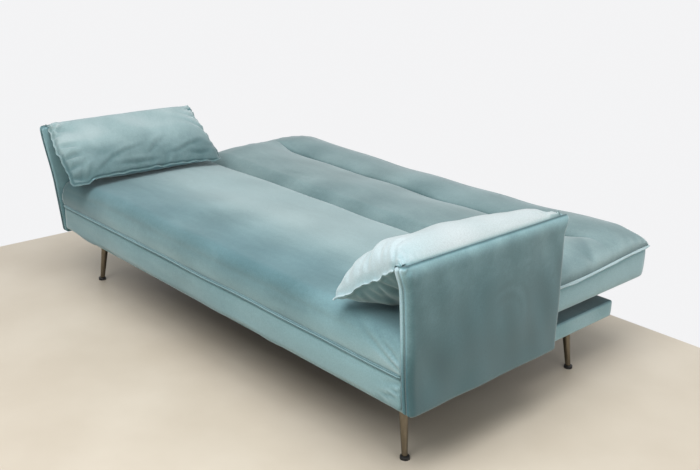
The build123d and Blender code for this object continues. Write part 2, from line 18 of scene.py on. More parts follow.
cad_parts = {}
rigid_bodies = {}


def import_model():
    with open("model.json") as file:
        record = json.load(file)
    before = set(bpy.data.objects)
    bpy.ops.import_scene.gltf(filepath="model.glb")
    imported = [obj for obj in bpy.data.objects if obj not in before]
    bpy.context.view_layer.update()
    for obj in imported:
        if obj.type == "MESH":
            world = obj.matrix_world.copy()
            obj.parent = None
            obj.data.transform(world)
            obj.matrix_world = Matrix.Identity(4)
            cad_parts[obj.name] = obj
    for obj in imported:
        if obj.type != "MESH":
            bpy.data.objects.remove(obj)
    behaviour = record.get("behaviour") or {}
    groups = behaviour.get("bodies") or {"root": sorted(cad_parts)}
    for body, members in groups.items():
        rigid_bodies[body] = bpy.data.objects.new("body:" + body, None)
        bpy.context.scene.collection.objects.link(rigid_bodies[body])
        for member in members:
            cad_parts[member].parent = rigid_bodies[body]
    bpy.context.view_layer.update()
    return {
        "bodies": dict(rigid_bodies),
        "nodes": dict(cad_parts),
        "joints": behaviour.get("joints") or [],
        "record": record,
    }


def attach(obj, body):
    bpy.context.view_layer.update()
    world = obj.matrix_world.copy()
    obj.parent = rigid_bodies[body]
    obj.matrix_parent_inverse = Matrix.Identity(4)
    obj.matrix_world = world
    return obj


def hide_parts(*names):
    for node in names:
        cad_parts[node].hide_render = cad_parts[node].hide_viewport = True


LOG = logging.getLogger("sofa_bed")
Array = np.ndarray
Piece = bpy.types.Object
Socket = bpy.types.NodeSocket
Colour = tuple[float, float, float, float]
RIPPLE_WAVES = 12


class Side(Enum):
    """End of the sofa that a piece belongs to, with its sign along X."""

    LEFT = -1
    RIGHT = 1

    @property
    def word(self) -> str:
        """Return the side's name in small letters."""
        return self.name.lower()


def clear_bench() -> None:
    """Leave edit mode and deselect every object."""
    if bpy.context.object and bpy.context.object.mode != "OBJECT":
        bpy.ops.object.mode_set(mode="OBJECT")
    bpy.ops.object.select_all(action="DESELECT")


def take_up(piece: Piece) -> None:
    """Make one piece the only selected and active object."""
    clear_bench()
    piece.select_set(True)
    bpy.context.view_layer.objects.active = piece


def points_of(piece: Piece) -> Array:
    """Return a piece's vertices as an array of rows x, y, z."""
    flat = np.empty(3 * len(piece.data.vertices))
    piece.data.vertices.foreach_get("co", flat)
    return flat.reshape(-1, 3)


def move_points(piece: Piece, points: Array) -> None:
    """Set a piece's vertices from an array of rows x, y, z."""
    piece.data.vertices.foreach_set("co", np.ascontiguousarray(points, dtype=np.float32).ravel())
    piece.data.update()


def work_modifier(piece: Piece, kind: str, **settings: Any) -> None:
    """Add a modifier to a piece, set it and apply it.

    Args:
        piece: The piece to work on.
        kind: Blender's modifier type.
        settings: Values for the modifier's properties.
    """
    take_up(piece)
    modifier = piece.modifiers.new(kind.title(), kind)
    for name, value in settings.items():
        setattr(modifier, name, value)
    bpy.ops.object.modifier_apply(modifier=modifier.name)


def cut_slot(piece: Piece, low: Sequence[float], high: Sequence[float]) -> None:
    """Cut a box-shaped slot out of a piece.

    Args:
        piece: The piece to cut.
        low: Lowest corner of the slot.
        high: Highest corner of the slot.
    """
    clear_bench()
    middle = [(first + last) / 2 for first, last in zip(low, high)]
    sizes = [last - first for first, last in zip(low, high)]
    bpy.ops.mesh.primitive_cube_add(size=1, location=middle, scale=sizes)
    cutter = bpy.context.object
    work_modifier(piece, "BOOLEAN", object=cutter, operation="DIFFERENCE", solver="EXACT")
    take_up(cutter)
    bpy.ops.object.delete()


def turn_outwards(piece: Piece) -> None:
    """Recalculate a closed piece's normals so that its faces point outwards."""
    take_up(piece)
    bpy.ops.object.mode_set(mode="EDIT")
    bpy.ops.mesh.select_all(action="SELECT")
    bpy.ops.mesh.normals_make_consistent(inside=False)
    bpy.ops.object.mode_set(mode="OBJECT")


def set_nap(piece: Piece, tone: Array | float, cast: Array | float) -> None:
    """Store the nap's tone with painted light and shade at each point, for the velvet to read.

    Args:
        piece: The piece that wears the velvet.
        tone: How light the nap lies, with painted light and shade, around 0.
        cast: Share of the painted bluish tint of fill and bounce light, from 0 to 1.
    """
    for name, values in (("tone", tone), ("cast", cast)):
        attribute = piece.data.attributes.new(name, "FLOAT", "POINT")
        filled = np.broadcast_to(np.asarray(values, dtype=np.float32), len(piece.data.vertices))
        attribute.data.foreach_set("value", np.ascontiguousarray(filled))


def ripple(points: Array, wavelength: float, seed: int) -> Array:
    """Return a smooth uneven pattern of about unit height over a set of points.

    Args:
        points: Rows of coordinates.
        wavelength: Usual distance between crests.
        seed: Choice of pattern.

    Returns:
        One value for each point.
    """
    chance = np.random.default_rng(seed)
    total = np.zeros(len(points))
    for _ in range(RIPPLE_WAVES):
        heading = chance.normal(size=points.shape[1])
        heading *= 2 * np.pi * chance.uniform(0.65, 1.5) / wavelength / np.linalg.norm(heading)
        total += np.cos(points @ heading + chance.uniform(0, 2 * np.pi))
    return total * math.sqrt(2 / RIPPLE_WAVES)


def ease(values: Array, low: float, high: float) -> Array:
    """Return a smooth step from 0 at low to 1 at high."""
    share = np.clip((values - low) / (high - low), 0, 1)
    return share * share * (3 - 2 * share)


def swell(distance: Array, reach: Array | float, power: Array | float = 2.0) -> Array:
    """Return how far a stuffed edge has risen at a distance from its seam, from 0 to 1."""
    left = 1 - np.clip(distance / reach, 0, 1)
    return (1 - left**power) ** (1 / power)


def fade(distance: Array, reach: float) -> Array:
    """Return 1 at no distance, falling away over the reach."""
    return np.exp(-distance / reach)


def bell(distance: Array, wide: float) -> Array:
    """Return 1 at no distance, falling away on both sides in the shape of a bell."""
    return np.exp(-((distance / wide) ** 2))


def gathers(
    run: Array, depth: Array, length: float, seed: int, spacing: float, reach: float, lean: float = 0.0
) -> Array:
    """Return the puckers that a gathered seam leaves in the cloth beside it.

    Args:
        run: Place of each point along the seam.
        depth: Distance of each point from the seam.
        length: Length of the seam.
        seed: Choice of pattern.
        spacing: Usual distance between puckers.
        reach: Usual length of a pucker.
        lean: How far the puckers drift along the seam, for each unit of depth.

    Returns:
        Height at each point, about -1 in the deepest creases.
    """
    chance = np.random.default_rng(seed)
    total = np.zeros(len(run))
    place = spacing * chance.uniform(0.3, 1.0)
    while place < length:
        far = reach * chance.lognormal(0, 0.45)
        wide = spacing * chance.uniform(0.18, 0.34) * (1 + 1.2 * depth / far)
        across = (run - place - (lean + chance.normal(0, 0.3)) * depth) / wide
        depth_share = np.exp(-((depth / far) ** 1.5)) * (1 - fade(depth, 0.006))
        relief = 0.55 * (bell(across - 1.7, 1) + bell(across + 1.7, 1)) - bell(across, 1)
        total += chance.uniform(0.3, 1.0) * depth_share * relief
        place += spacing * chance.uniform(0.5, 1.6)
    return total


def arc(start: Sequence[float], via: Sequence[float], end: Sequence[float], count: int) -> Array:
    """Return points on the circle through three points, without the first one.

    Args:
        start: First point.
        via: Point between the ends.
        end: Last point.
        count: Number of points to return.

    Returns:
        Rows of two coordinates.
    """
    a, b, c = (np.array(p, float) for p in (start, via, end))
    matrix = 2 * np.array([b - a, c - a])
    centre = np.linalg.solve(matrix, np.array([b @ b - a @ a, c @ c - a @ a]))
    angles = [math.atan2(*(p - centre)[::-1]) for p in (a, b, c)]
    turn = (angles[2] - angles[0]) % (2 * math.pi)
    if (angles[1] - angles[0]) % (2 * math.pi) > turn:
        turn -= 2 * math.pi
    sweep = angles[0] + turn * np.arange(1, count + 1) / count
    return centre + np.linalg.norm(a - centre) * np.stack([np.cos(sweep), np.sin(sweep)], 1)


def chain(start: Sequence[float], legs: Iterable[tuple[Sequence[float], Sequence[float], int]]) -> Array:
    """Return a path of arcs that follow on from each other.

    Args:
        start: First point.
        legs: For each arc a point on its way, its end and its number of points.

    Returns:
        Rows of two coordinates.
    """
    parts = [np.array([start])]
    for via, end, count in legs:
        parts.append(arc(start, via, end, count))
        start = end
    return np.concatenate(parts)


def spread(length: float, fine: float, coarse: float, growth: float = 1.35) -> Array:
    """Return stops from 0 to length, close together at both ends and wider in the middle.

    Args:
        length: Last stop.
        fine: First step at each end.
        coarse: Widest step.
        growth: How much each step grows on the one before it.

    Returns:
        The stops in rising order.
    """
    steps = [fine]
    while sum(steps) + steps[-1] < length / 2:
        steps.append(min(steps[-1] * growth, coarse))
    stops = np.concatenate([[0], np.cumsum(steps + steps[::-1])])
    return stops * length / stops[-1]


def along(path: Array, stops: Array) -> Array:
    """Return the points of a polyline at shares of its length.

    Args:
        path: Rows of coordinates.
        stops: Shares from 0 to 1.

    Returns:
        One row for each share.
    """
    run = np.concatenate([[0], np.cumsum(np.linalg.norm(np.diff(path, axis=0), axis=1))])
    return np.stack([np.interp(stops * run[-1], run, path[:, i]) for i in range(path.shape[1])], 1)


@dataclass
class Sheet:
    """A closed double sheet of fabric: its object and where each vertex lies in it.

    Attributes:
        piece: The mesh object.
        column: Index of each vertex along the first side.
        row: Index of each vertex along the second side.
        upper: True where a vertex belongs to the upper layer.
    """

    piece: Piece
    column: Array
    row: Array
    upper: Array

    @classmethod
    def cut(
        cls, name: str, columns: int, rows: int, slits: Iterable[tuple[int, int, int, int]] = ()
    ) -> "Sheet":
        """Cut a double sheet with a number of cells each way.

        Args:
            name: Name of the piece.
            columns: Cells along the first side.
            rows: Cells along the second side.
            slits: Openings, each as its first and last column and its first and last row.

        Returns:
            The sheet, lying flat at the origin.
        """
        clear_bench()
        bpy.ops.mesh.primitive_grid_add(x_subdivisions=columns, y_subdivisions=rows, size=2)
        piece = bpy.context.object
        piece.name = piece.data.name = name
        bpy.ops.object.mode_set(mode="EDIT")
        bpy.ops.mesh.select_mode(type="FACE")
        for left, right, low, high in slits:
            bpy.ops.mesh.select_all(action="DESELECT")
            bpy.ops.object.mode_set(mode="OBJECT")
            for face in piece.data.polygons:
                across, up = (face.center.x + 1) / 2 * columns, (face.center.y + 1) / 2 * rows
                face.select = left < across < right and low < up < high
            bpy.ops.object.mode_set(mode="EDIT")
            bpy.ops.mesh.delete(type="FACE")
        bpy.ops.mesh.select_all(action="SELECT")
        bpy.ops.mesh.extrude_region_move(TRANSFORM_OT_translate={"value": (0, 0, 1)})
        bpy.ops.object.mode_set(mode="OBJECT")
        flat = points_of(piece)
        column = np.rint((flat[:, 0] + 1) / 2 * columns).astype(int)
        row = np.rint((flat[:, 1] + 1) / 2 * rows).astype(int)
        return cls(piece, column, row, flat[:, 2] > 0.5)


def rounded_path(
    low: Sequence[float], high: Sequence[float], corner: float, step: float
) -> tuple[Array, Array]:
    """Return a rectangle with rounded corners, walked against the clock from its front left corner.

    Args:
        low: Lowest x and y.
        high: Highest x and y.
        corner: Radius of the corners.
        step: Distance between points on the straights.

    Returns:
        The points, and the outward direction at each of them.
    """
    places: list[tuple[float, float]] = []
    outward: list[tuple[float, float]] = []
    corners = [
        (high[0] - corner, low[1] + corner, -90),
        (high[0] - corner, high[1] - corner, 0),
        (low[0] + corner, high[1] - corner, 90),
        (low[0] + corner, low[1] + corner, 180),
    ]
    for index, (x, y, start) in enumerate(corners):
        for angle in np.radians(np.linspace(start, start + 90, 6)):
            places.append((x + corner * math.cos(angle), y + corner * math.sin(angle)))
            outward.append((math.cos(angle), math.sin(angle)))
        after = corners[(index + 1) % 4]
        normal = (math.cos(math.radians(start + 90)), math.sin(math.radians(start + 90)))
        first = np.array(places[-1])
        last = np.array([after[0] + corner * normal[0], after[1] + corner * normal[1]])
        count = max(int(np.linalg.norm(last - first) / step), 1)
        for share in np.arange(1, count) / count:
            places.append(tuple(first + share * (last - first)))
            outward.append(normal)
    return np.array(places), np.array(outward)


@dataclass
class Band:
    """A closed band of fabric round a frame.

    Attributes:
        piece: The mesh object.
        spot: Place of each vertex on the band's path, in x and y.
        facing: Outward direction of the path at each vertex.
        out: Distance of each vertex outwards from the path.
        z: Height of each vertex.
    """

    piece: Piece
    spot: Array
    facing: Array
    out: Array
    z: Array

    @classmethod
    def cut(cls, name: str, path: tuple[Array, Array], profile: Sequence[Sequence[float]]) -> "Band":
        """Cut a band with one section all along its path.

        Args:
            name: Name of the piece.
            path: Points that the band follows, and the outward direction at each of them.
            profile: Points of the section, as distance outwards and height.

        Returns:
            The band, with its vertices still to be moved into place.
        """
        stops, turns = len(path[0]), len(profile)
        clear_bench()
        bpy.ops.mesh.primitive_torus_add(
            major_segments=stops, minor_segments=turns, major_radius=1, minor_radius=0.25
        )
        piece = bpy.context.object
        piece.name = piece.data.name = name
        flat = points_of(piece)
        bearing = np.arctan2(flat[:, 1], flat[:, 0]) / (2 * np.pi) * stops
        lean = np.arctan2(flat[:, 2], np.hypot(flat[:, 0], flat[:, 1]) - 1) / (2 * np.pi) * turns
        stop, turn = np.rint(bearing).astype(int) % stops, np.rint(lean).astype(int) % turns
        out, z = np.array(profile)[turn].T
        return cls(piece, path[0][stop], path[1][stop], out, z)

    def points(self) -> Array:
        """Return where the vertices lie, as rows x, y, z."""
        return np.column_stack([self.spot + self.facing * self.out[:, None], self.z])


@dataclass(frozen=True)
class ClothRun:
    """A short cloth simulation that lets a stuffed cover settle over its filling.

    Attributes:
        pressure: Push of the filling.
        slack: Share by which the fabric is larger than its pattern.
        cap: Longest move that a point may make.
        frames: Number of frames to run.
        bending: Stiffness against folding.
    """

    pressure: float
    slack: float
    cap: float
    frames: int = 20
    bending: float = 0.2

    def settle(self, piece: Piece, held: Array, spare: Array | None = None) -> None:
        """Run the simulation and keep its result in the mesh.

        Args:
            piece: The cover, a closed mesh.
            held: How firmly each vertex is held in its place, from 0 to 1.
            spare: Share of the slack at each vertex, or None for all of it everywhere.
        """
        start = points_of(piece)
        take_up(piece)
        for name, weights in (("held", held), ("spare", np.ones_like(held) if spare is None else spare)):
            group = piece.vertex_groups.new(name=name)
            steps = np.round(weights, 2)
            for weight in np.unique(steps[steps > 0]):
                group.add(np.flatnonzero(steps == weight).tolist(), float(weight), "REPLACE")
        modifier = piece.modifiers.new("Cloth", "CLOTH")
        settings = modifier.settings
        settings.use_pressure = True
        settings.uniform_pressure_force = self.pressure
        settings.vertex_group_shrink = "spare"
        settings.shrink_min = 0
        settings.shrink_max = -self.slack
        settings.bending_stiffness = self.bending
        settings.vertex_group_mass = "held"
        settings.effector_weights.gravity = 0
        modifier.point_cache.frame_start = 1
        modifier.point_cache.frame_end = self.frames
        for frame in range(1, self.frames + 1):
            bpy.context.scene.frame_set(frame)
        worn = piece.evaluated_get(bpy.context.evaluated_depsgraph_get())
        settled = points_of(worn)
        piece.modifiers.remove(modifier)
        piece.vertex_groups.clear()
        bpy.context.scene.frame_set(1)
        move = settled - start
        length = np.linalg.norm(move, axis=1, keepdims=True) + 1e-9
        move_points(piece, start + move * self.cap * np.tanh(length / self.cap) / length)


class Shades:
    """A node tree under construction, with short ways to add and link nodes."""

    def __init__(self, tree: bpy.types.NodeTree) -> None:
        """Start on an emptied node tree."""
        self.tree = tree
        tree.nodes.clear()

    @classmethod
    def of_material(cls, name: str) -> tuple[bpy.types.Material, "Shades"]:
        """Return a new material and the shades of its emptied tree."""
        made = bpy.data.materials.new(name)
        made.use_nodes = True
        return made, cls(made.node_tree)

    def feed(self, socket: Socket, value: Any) -> None:
        """Link an output socket to an input socket, or give the input a plain value."""
        if isinstance(value, bpy.types.NodeSocket):
            self.tree.links.new(value, socket)
        else:
            socket.default_value = value

    def add(self, kind: str, inputs: dict[str | int, Any] | None = None, **settings: Any) -> bpy.types.Node:
        """Add a node.

        Args:
            kind: Node type without its prefix.
            inputs: Values or output sockets for the node's inputs, by name or index.
            settings: Values for the node's properties.

        Returns:
            The new node.
        """
        prefix = "" if kind.startswith("NodeGroup") else "ShaderNode"
        node = self.tree.nodes.new(prefix + kind)
        for name, value in settings.items():
            setattr(node, name, value)
        for name, value in (inputs or {}).items():
            self.feed(node.inputs[name], value)
        return node

    def finish(self, shader: bpy.types.Node, output: str = "OutputMaterial") -> None:
        """Link a shader to a new output node."""
        self.add(output, {0: shader.outputs[0]})

    def math(self, operation: str, first: Any, second: Any) -> Socket:
        """Return the output of a math node."""
        return self.add("Math", {0: first, 1: second}, operation=operation).outputs[0]

    def weigh(self, *terms: tuple[Any, float]) -> Socket:
        """Return the sum of some values, each times its weight."""
        total, *others = (self.math("MULTIPLY", value, weight) for value, weight in terms)
        for other in others:
            total = self.math("ADD", total, other)
        return total

    def blend(self, factor: Any, first: Any, second: Any, mode: str = "MIX") -> Socket:
        """Return the colour output of a mix node."""
        return self.add("Mix", {0: factor, 6: first, 7: second}, data_type="RGBA", blend_type=mode).outputs[2]

    def noise(
        self, vector: Any, scale: Any, detail: float = 2.0, roughness: float = 0.5, warp: float = 0.0
    ) -> Socket:
        """Return the value output of a noise texture."""
        inputs = {"Scale": scale, "Detail": detail, "Roughness": roughness, "Distortion": warp}
        return self.add("TexNoise", {"Vector": vector, **inputs}).outputs["Fac"]

    def stretch(self, vector: Any, scale: Sequence[float], turn: Sequence[float] = (0, 0, 0)) -> Socket:
        """Return coordinates scaled and turned by a mapping node."""
        return self.add("Mapping", {"Vector": vector, "Scale": scale, "Rotation": turn}).outputs[0]

    def span(
        self, value: Any, low: float, high: float, start: float = 0.0, end: float = 1.0, way: str = "LINEAR"
    ) -> Socket:
        """Return a value mapped from one range to another and clamped."""
        inputs = {"Value": value, "From Min": low, "From Max": high, "To Min": start, "To Max": end}
        return self.add("MapRange", inputs, interpolation_type=way).outputs[0]

    def seen(self) -> Socket:
        """Return 1 for rays from the camera and from glossy surfaces, else 0."""
        path = self.add("LightPath")
        return self.math("MAXIMUM", path.outputs["Is Camera Ray"], path.outputs["Is Glossy Ray"])


def colour(red: float, green: float, blue: float) -> Colour:
    """Return a linear colour with full alpha from display values of 0 to 255."""
    linear = [v / 255 / 12.92 if v < 10.3 else ((v / 255 + 0.055) / 1.055) ** 2.4 for v in (red, green, blue)]
    return (*linear, 1.0)


def new_group(name: str, inputs: dict[str, float], outputs: Iterable[str]) -> tuple[Shades, Any, Any]:
    """Make a shader node group with a vector input, some value inputs and value outputs.

    Args:
        name: Name of the group.
        inputs: Value inputs and their defaults.
        outputs: Value outputs.

    Returns:
        The shades of the group, the outputs of its input node and the inputs of its output node.
    """
    tree = bpy.data.node_groups.new(name, "ShaderNodeTree")
    shades = Shades(tree)
    tree.interface.new_socket("Vector", in_out="INPUT", socket_type="NodeSocketVector")
    for label, value in inputs.items():
        tree.interface.new_socket(label, in_out="INPUT", socket_type="NodeSocketFloat").default_value = value
    for label in outputs:
        tree.interface.new_socket(label, in_out="OUTPUT", socket_type="NodeSocketFloat")
    return shades, shades.add("NodeGroupInput").outputs, shades.add("NodeGroupOutput").inputs


def nap_group() -> bpy.types.NodeTree:
    """Return the group for a pile fabric's nap: its brushed tone, its fine pile and its drift of hue."""
    if "nap" in bpy.data.node_groups:
        return bpy.data.node_groups["nap"]
    shades, given, out = new_group("nap", {"Brush": 3.0, "Pile": 260.0}, ("Tone", "Pile", "Hue"))
    place = given["Vector"]
    broad = shades.noise(place, given["Brush"], 3.0)
    strokes = shades.noise(shades.stretch(place, (3.0, 11.0, 11.0), (0.3, 0.2, 0.6)), 1.6, 4.0, warp=0.9)
    mottle = shades.noise(place, 55.0, 3.0, 0.6)
    tone = shades.weigh((broad, 0.45), (strokes, 0.35), (mottle, 0.20))
    shades.feed(out["Tone"], shades.span(tone, 0.32, 0.68))
    shades.feed(out["Pile"], shades.noise(place, given["Pile"]))
    shades.feed(out["Hue"], shades.span(shades.noise(place, 2.1), 0.35, 0.65))
    return shades.tree


def grain_group() -> bpy.types.NodeTree:
    """Return the group for a streaked or speckled grain, coarse and fine."""
    if "grain" in bpy.data.node_groups:
        return bpy.data.node_groups["grain"]
    shades, given, out = new_group("grain", {"Fineness": 20.0}, ("Grain", "Fine"))
    coarse = shades.noise(given["Vector"], given["Fineness"], 5.0, warp=0.4)
    fine = shades.noise(given["Vector"], shades.math("MULTIPLY", given["Fineness"], 6.0))
    shades.feed(out["Grain"], shades.span(shades.weigh((coarse, 0.7), (fine, 0.3)), 0.35, 0.65))
    shades.feed(out["Fine"], fine)
    return shades.tree


@dataclass(frozen=True)
class Velvet:
    """Short-pile velvet whose nap is brushed lighter and darker, with painted light and shade carried in the
    same tone.

    Attributes:
        name: Name of the material.
        deep: Darkest colour, where the pile stands towards the eye and where a low tone paints shade.
        light: Colour where the pile leans and where a raised tone paints light.
        brushed: Palest colour, where the pile is brushed flat and where a high tone paints a highlight that
            stands in for sheen.
        cool: Bluer cast that drifts over the cloth.
        cast: Bluish tint that the cast attribute paints in, for the colour of fill and bounce light in shaded
            parts.
        tint: Colour of the soft light on turned edges.
        sheen: Weight of that light.
    """

    name: str = "brushed_velvet"
    deep: Colour = colour(76, 102, 104)
    light: Colour = colour(158, 180, 181)
    brushed: Colour = colour(190, 198, 199)
    cool: Colour = colour(94, 133, 142)
    cast: Colour = (0.81, 1.01, 1.075, 1.0)
    tint: Colour = colour(226, 234, 235)
    sheen: float = 0.8

    def material(self) -> bpy.types.Material:
        """Return the velvet's material, which is built at the first call."""
        if self.name in bpy.data.materials:
            return bpy.data.materials[self.name]
        cloth, shades = Shades.of_material(self.name)
        place = shades.add("TexCoord").outputs["Object"]
        nap = shades.add("Group", {"Vector": place}, node_tree=nap_group()).outputs
        # The tone attribute holds the nap's tone together with painted light and shade.
        laid = shades.add("Attribute", attribute_name="tone").outputs["Fac"]
        blue = shades.add("Attribute", attribute_name="cast").outputs["Fac"]
        lean = shades.math("ADD", laid, shades.span(nap["Tone"], 0, 1, 0.22, 0.78))
        base = shades.blend(shades.span(lean, -0.6, 1.88, way="SMOOTHSTEP"), self.deep, self.light)
        base = shades.blend(shades.math("MULTIPLY", nap["Hue"], 0.18), base, self.cool)
        # A high tone moves towards the palest colour: pile brushed flat, and painted highlight.
        flat = shades.math("ADD", laid, shades.math("MULTIPLY", nap["Tone"], 0.15))
        base = shades.blend(shades.span(flat, 0.95, 1.95), base, self.brushed)
        # The cast attribute paints the bluish tint of fill and bounce light in shaded parts.
        base = shades.blend(blue, base, shades.blend(1.0, base, self.cast, "MULTIPLY"))
        # A tone below -0.8 darkens further still: painted shade in creases, seam grooves and on the shaded
        # arm panels.
        shadow = shades.span(laid, -1.6, -0.8, 0.70, 1.0)
        fine = shades.math("MULTIPLY", shades.span(nap["Pile"], 0.3, 0.7, 0.91, 1.07), shadow)
        grey = shades.add("CombineColor", {0: fine, 1: fine, 2: fine}).outputs[0]
        base = shades.blend(1.0, base, grey, "MULTIPLY")
        bump = shades.add("Bump", {"Height": nap["Pile"], "Strength": 0.25, "Distance": 0.0008})
        shades.finish(shades.add("BsdfPrincipled", {
            "Base Color": base,
            "Roughness": shades.span(nap["Pile"], 0.2, 0.8, 0.78, 0.96),
            "Normal": bump.outputs[0],
            "Sheen Weight": self.sheen,
            "Sheen Roughness": 0.45,
            "Sheen Tint": self.tint,
            "Specular IOR Level": 0.15,
        }))
        return cloth


VELVET = Velvet()


@dataclass(frozen=True)
class HardFinish:
    """Finish of a rigid or flat CAD node: two colours, a grain and its gloss.

    Attributes:
        name: Name of the material.
        dark: Colour in the grain's hollows.
        pale: Colour on the grain's ridges.
        scale: Fineness of the grain.
        rough: Lowest and highest roughness.
        stretch: Scale of the grain along X, Y and Z.
        metallic: 1 for bare or plated metal, 0 otherwise.
        bump: Depth of the grain in metres.
        coat: Weight of a clear coat.
    """

    name: str
    dark: Colour
    pale: Colour
    scale: float
    rough: tuple[float, float]
    stretch: tuple[float, float, float] = (1.0, 1.0, 1.0)
    metallic: float = 0.0
    bump: float = 0.0002
    coat: float = 0.0

    def material(self) -> bpy.types.Material:
        """Return the finish's material."""
        made, shades = Shades.of_material(self.name)
        place = shades.stretch(shades.add("TexCoord").outputs["Object"], self.stretch)
        inputs = {"Vector": place, "Fineness": self.scale}
        grain = shades.add("Group", inputs, node_tree=grain_group()).outputs
        bump = shades.add("Bump", {"Height": grain["Grain"], "Strength": 0.4, "Distance": self.bump})
        shades.finish(shades.add("BsdfPrincipled", {
            "Base Color": shades.blend(grain["Grain"], self.dark, self.pale),
            "Roughness": shades.span(grain["Fine"], 0.3, 0.7, *self.rough),
            "Normal": bump.outputs[0],
            "Metallic": self.metallic,
            "Coat Weight": self.coat,
            "Coat Roughness": 0.12,
        }))
        return made


HARD_FINISHES: tuple[tuple[HardFinish, tuple[str, ...]], ...] = (
    (
        HardFinish(
            "planed_timber", colour(176, 134, 86), colour(216, 182, 132), 9.0, (0.50, 0.68), (1.0, 7.0, 7.0)
        ),
        (
            "base_front_rail", "base_rear_rail", "seat_front_rail", "seat_rear_rail", "back_near_rail",
            "back_far_rail",
        ),
    ),
    (
        HardFinish(
            "planed_timber_across", colour(170, 128, 82), colour(212, 176, 126), 9.0, (0.50, 0.68),
            (7.0, 1.0, 7.0),
        ),
        (
            "base_left_rail", "base_right_rail", "base_cross_rails", "base_leg_blocks", "seat_end_rails",
            "seat_cross_rails", "back_end_rails", "back_hinge_rails", "back_cross_rails", "arm_board_left",
            "arm_board_right",
        ),
    ),
    (
        HardFinish("black_lining", colour(20, 20, 21), colour(40, 40, 42), 260.0, (0.85, 0.98), bump=0.0004),
        ("base_dust_cover", "back_dust_cover"),
    ),
    (
        HardFinish(
            "elastic_webbing", colour(24, 24, 25), colour(58, 58, 60), 170.0, (0.75, 0.92), (1.0, 6.0, 1.0),
            bump=0.0006,
        ),
        ("seat_webbing", "back_webbing"),
    ),
    (
        HardFinish(
            "gunmetal", colour(100, 92, 79), colour(122, 113, 98), 30.0, (0.09, 0.17), (9.0, 9.0, 1.0),
            metallic=1.0, bump=0.00002, coat=0.3,
        ),
        ("leg_front_left", "leg_front_right", "leg_rear_left", "leg_rear_right", "leg_plates"),
    ),
    (
        HardFinish(
            "zinc_plate", colour(150, 150, 146), colour(186, 186, 182), 60.0, (0.28, 0.46), (1.0, 5.0, 5.0),
            metallic=1.0, bump=0.00004,
        ),
        (
            "leg_plate_screws", "seat_bolts", "arm_bolts", "arm_tee_nuts", "hinge_bracket_left",
            "hinge_bracket_right", "ratchet_drum_left", "ratchet_drum_right", "hinge_pin_left",
            "hinge_pin_right", "hinge_arm_left", "hinge_arm_right", "hinge_bracket_screws",
            "hinge_arm_screws",
        ),
    ),
    (
        HardFinish("black_glide", colour(16, 16, 17), colour(30, 30, 31), 300.0, (0.42, 0.60), bump=0.0001),
        ("foot_glides",),
    ),
)


def dress_frame(nodes: dict[str, Piece]) -> None:
    """Give every CAD node that stays in sight its own procedural material.

    Args:
        nodes: The CAD nodes by name.
    """
    for finish, names in HARD_FINISHES:
        material = finish.material()
        for name in names:
            for slot in nodes[name].material_slots:
                slot.material = material
        LOG.info("%s on %d CAD nodes", finish.name, len(names))


def upholster(
    piece: Piece,
    body: str,
    nodes: Sequence[str],
    tone: Array | float,
    cast: Array | float = 0.0,
    rounded: bool = False,
) -> None:
    """Finish a velvet piece: its nap with painted light and shade, its surface, its material, its body and
    what it stands for.

    Args:
        piece: The piece in its final shape.
        body: CAD body that it moves with.
        nodes: CAD nodes that it replaces.
        tone: How light its nap lies, with painted light and shade, at each point or all over.
        cast: Share of the painted bluish tint of fill and bounce light, from 0 to 1.
        rounded: True where the mesh is rounded by subdivision.
    """
    set_nap(piece, tone, cast)
    turn_outwards(piece)
    if rounded:
        work_modifier(piece, "SUBSURF", levels=1, render_levels=1)
    take_up(piece)
    bpy.ops.object.shade_smooth()
    piece.data.materials.clear()
    piece.data.materials.append(VELVET.material())
    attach(piece, body)
    if nodes:
        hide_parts(*nodes)
    LOG.info("%s: %d faces on %s", piece.name, len(piece.data.polygons), body)


# Sections of the sewn bands, as distance outwards from their path and height.
SEAT_BORDER = (
    (0.000, 0.312), (0.0015, 0.300), (0.0028, 0.285), (0.0032, 0.268), (0.0028, 0.250), (0.0015, 0.236),
    (-0.001, 0.2275), (-0.0045, 0.2235), (-0.012, 0.2215), (-0.030, 0.2215), (-0.044, 0.2215),
    (-0.044, 0.2228), (-0.012, 0.2240), (-0.013, 0.270), (-0.013, 0.316), (-0.003, 0.318),
)
SEAT_WELT = (
    (0.0000, 0.3152), (0.0026, 0.3156), (0.0036, 0.3166), (0.0012, 0.3182), (0.0042, 0.3198),
    (0.0052, 0.3215), (0.0042, 0.3232), (0.0012, 0.3248), (0.0036, 0.3262), (0.0026, 0.3272),
    (0.0000, 0.3276), (-0.004, 0.3265), (-0.004, 0.3165),
)
BACK_BORDER = (
    (0.000, 0.380), (0.0012, 0.370), (0.0022, 0.355), (0.0022, 0.335), (0.0010, 0.315), (-0.0015, 0.303),
    (-0.006, 0.2970), (-0.013, 0.2950), (-0.030, 0.2948), (-0.030, 0.2962), (-0.014, 0.2970),
    (-0.018, 0.330), (-0.018, 0.370), (-0.004, 0.381),
)
BACK_WELT = (
    (0.0000, 0.3798), (0.0022, 0.3806), (0.0034, 0.3822), (0.0050, 0.3836), (0.0068, 0.3842),
    (0.0082, 0.3854), (0.0082, 0.3868), (0.0068, 0.3880), (0.0050, 0.3884), (0.0030, 0.3890),
    (0.0005, 0.3900), (-0.004, 0.3905), (-0.004, 0.3805),
)
BASE_WRAP = (
    (-0.0050, 0.2258), (-0.0020, 0.2250), (0.0002, 0.2230), (0.0010, 0.2195), (0.0012, 0.2120),
    (0.0014, 0.1970), (0.0012, 0.1820), (0.0005, 0.1740), (-0.0010, 0.1700), (-0.0040, 0.1688),
    (-0.0200, 0.1686), (-0.0200, 0.1696), (-0.0045, 0.1699), (-0.0020, 0.1750), (-0.0018, 0.2150),
    (-0.0100, 0.2232), (-0.0100, 0.2256),
)
HINGE_SLOT = (0.7864, 0.7974)  # along X, where a hinge bracket passes through the covers
ALONG = 0.7  # a band runs along the sofa where it faces the front or the rear by more than this


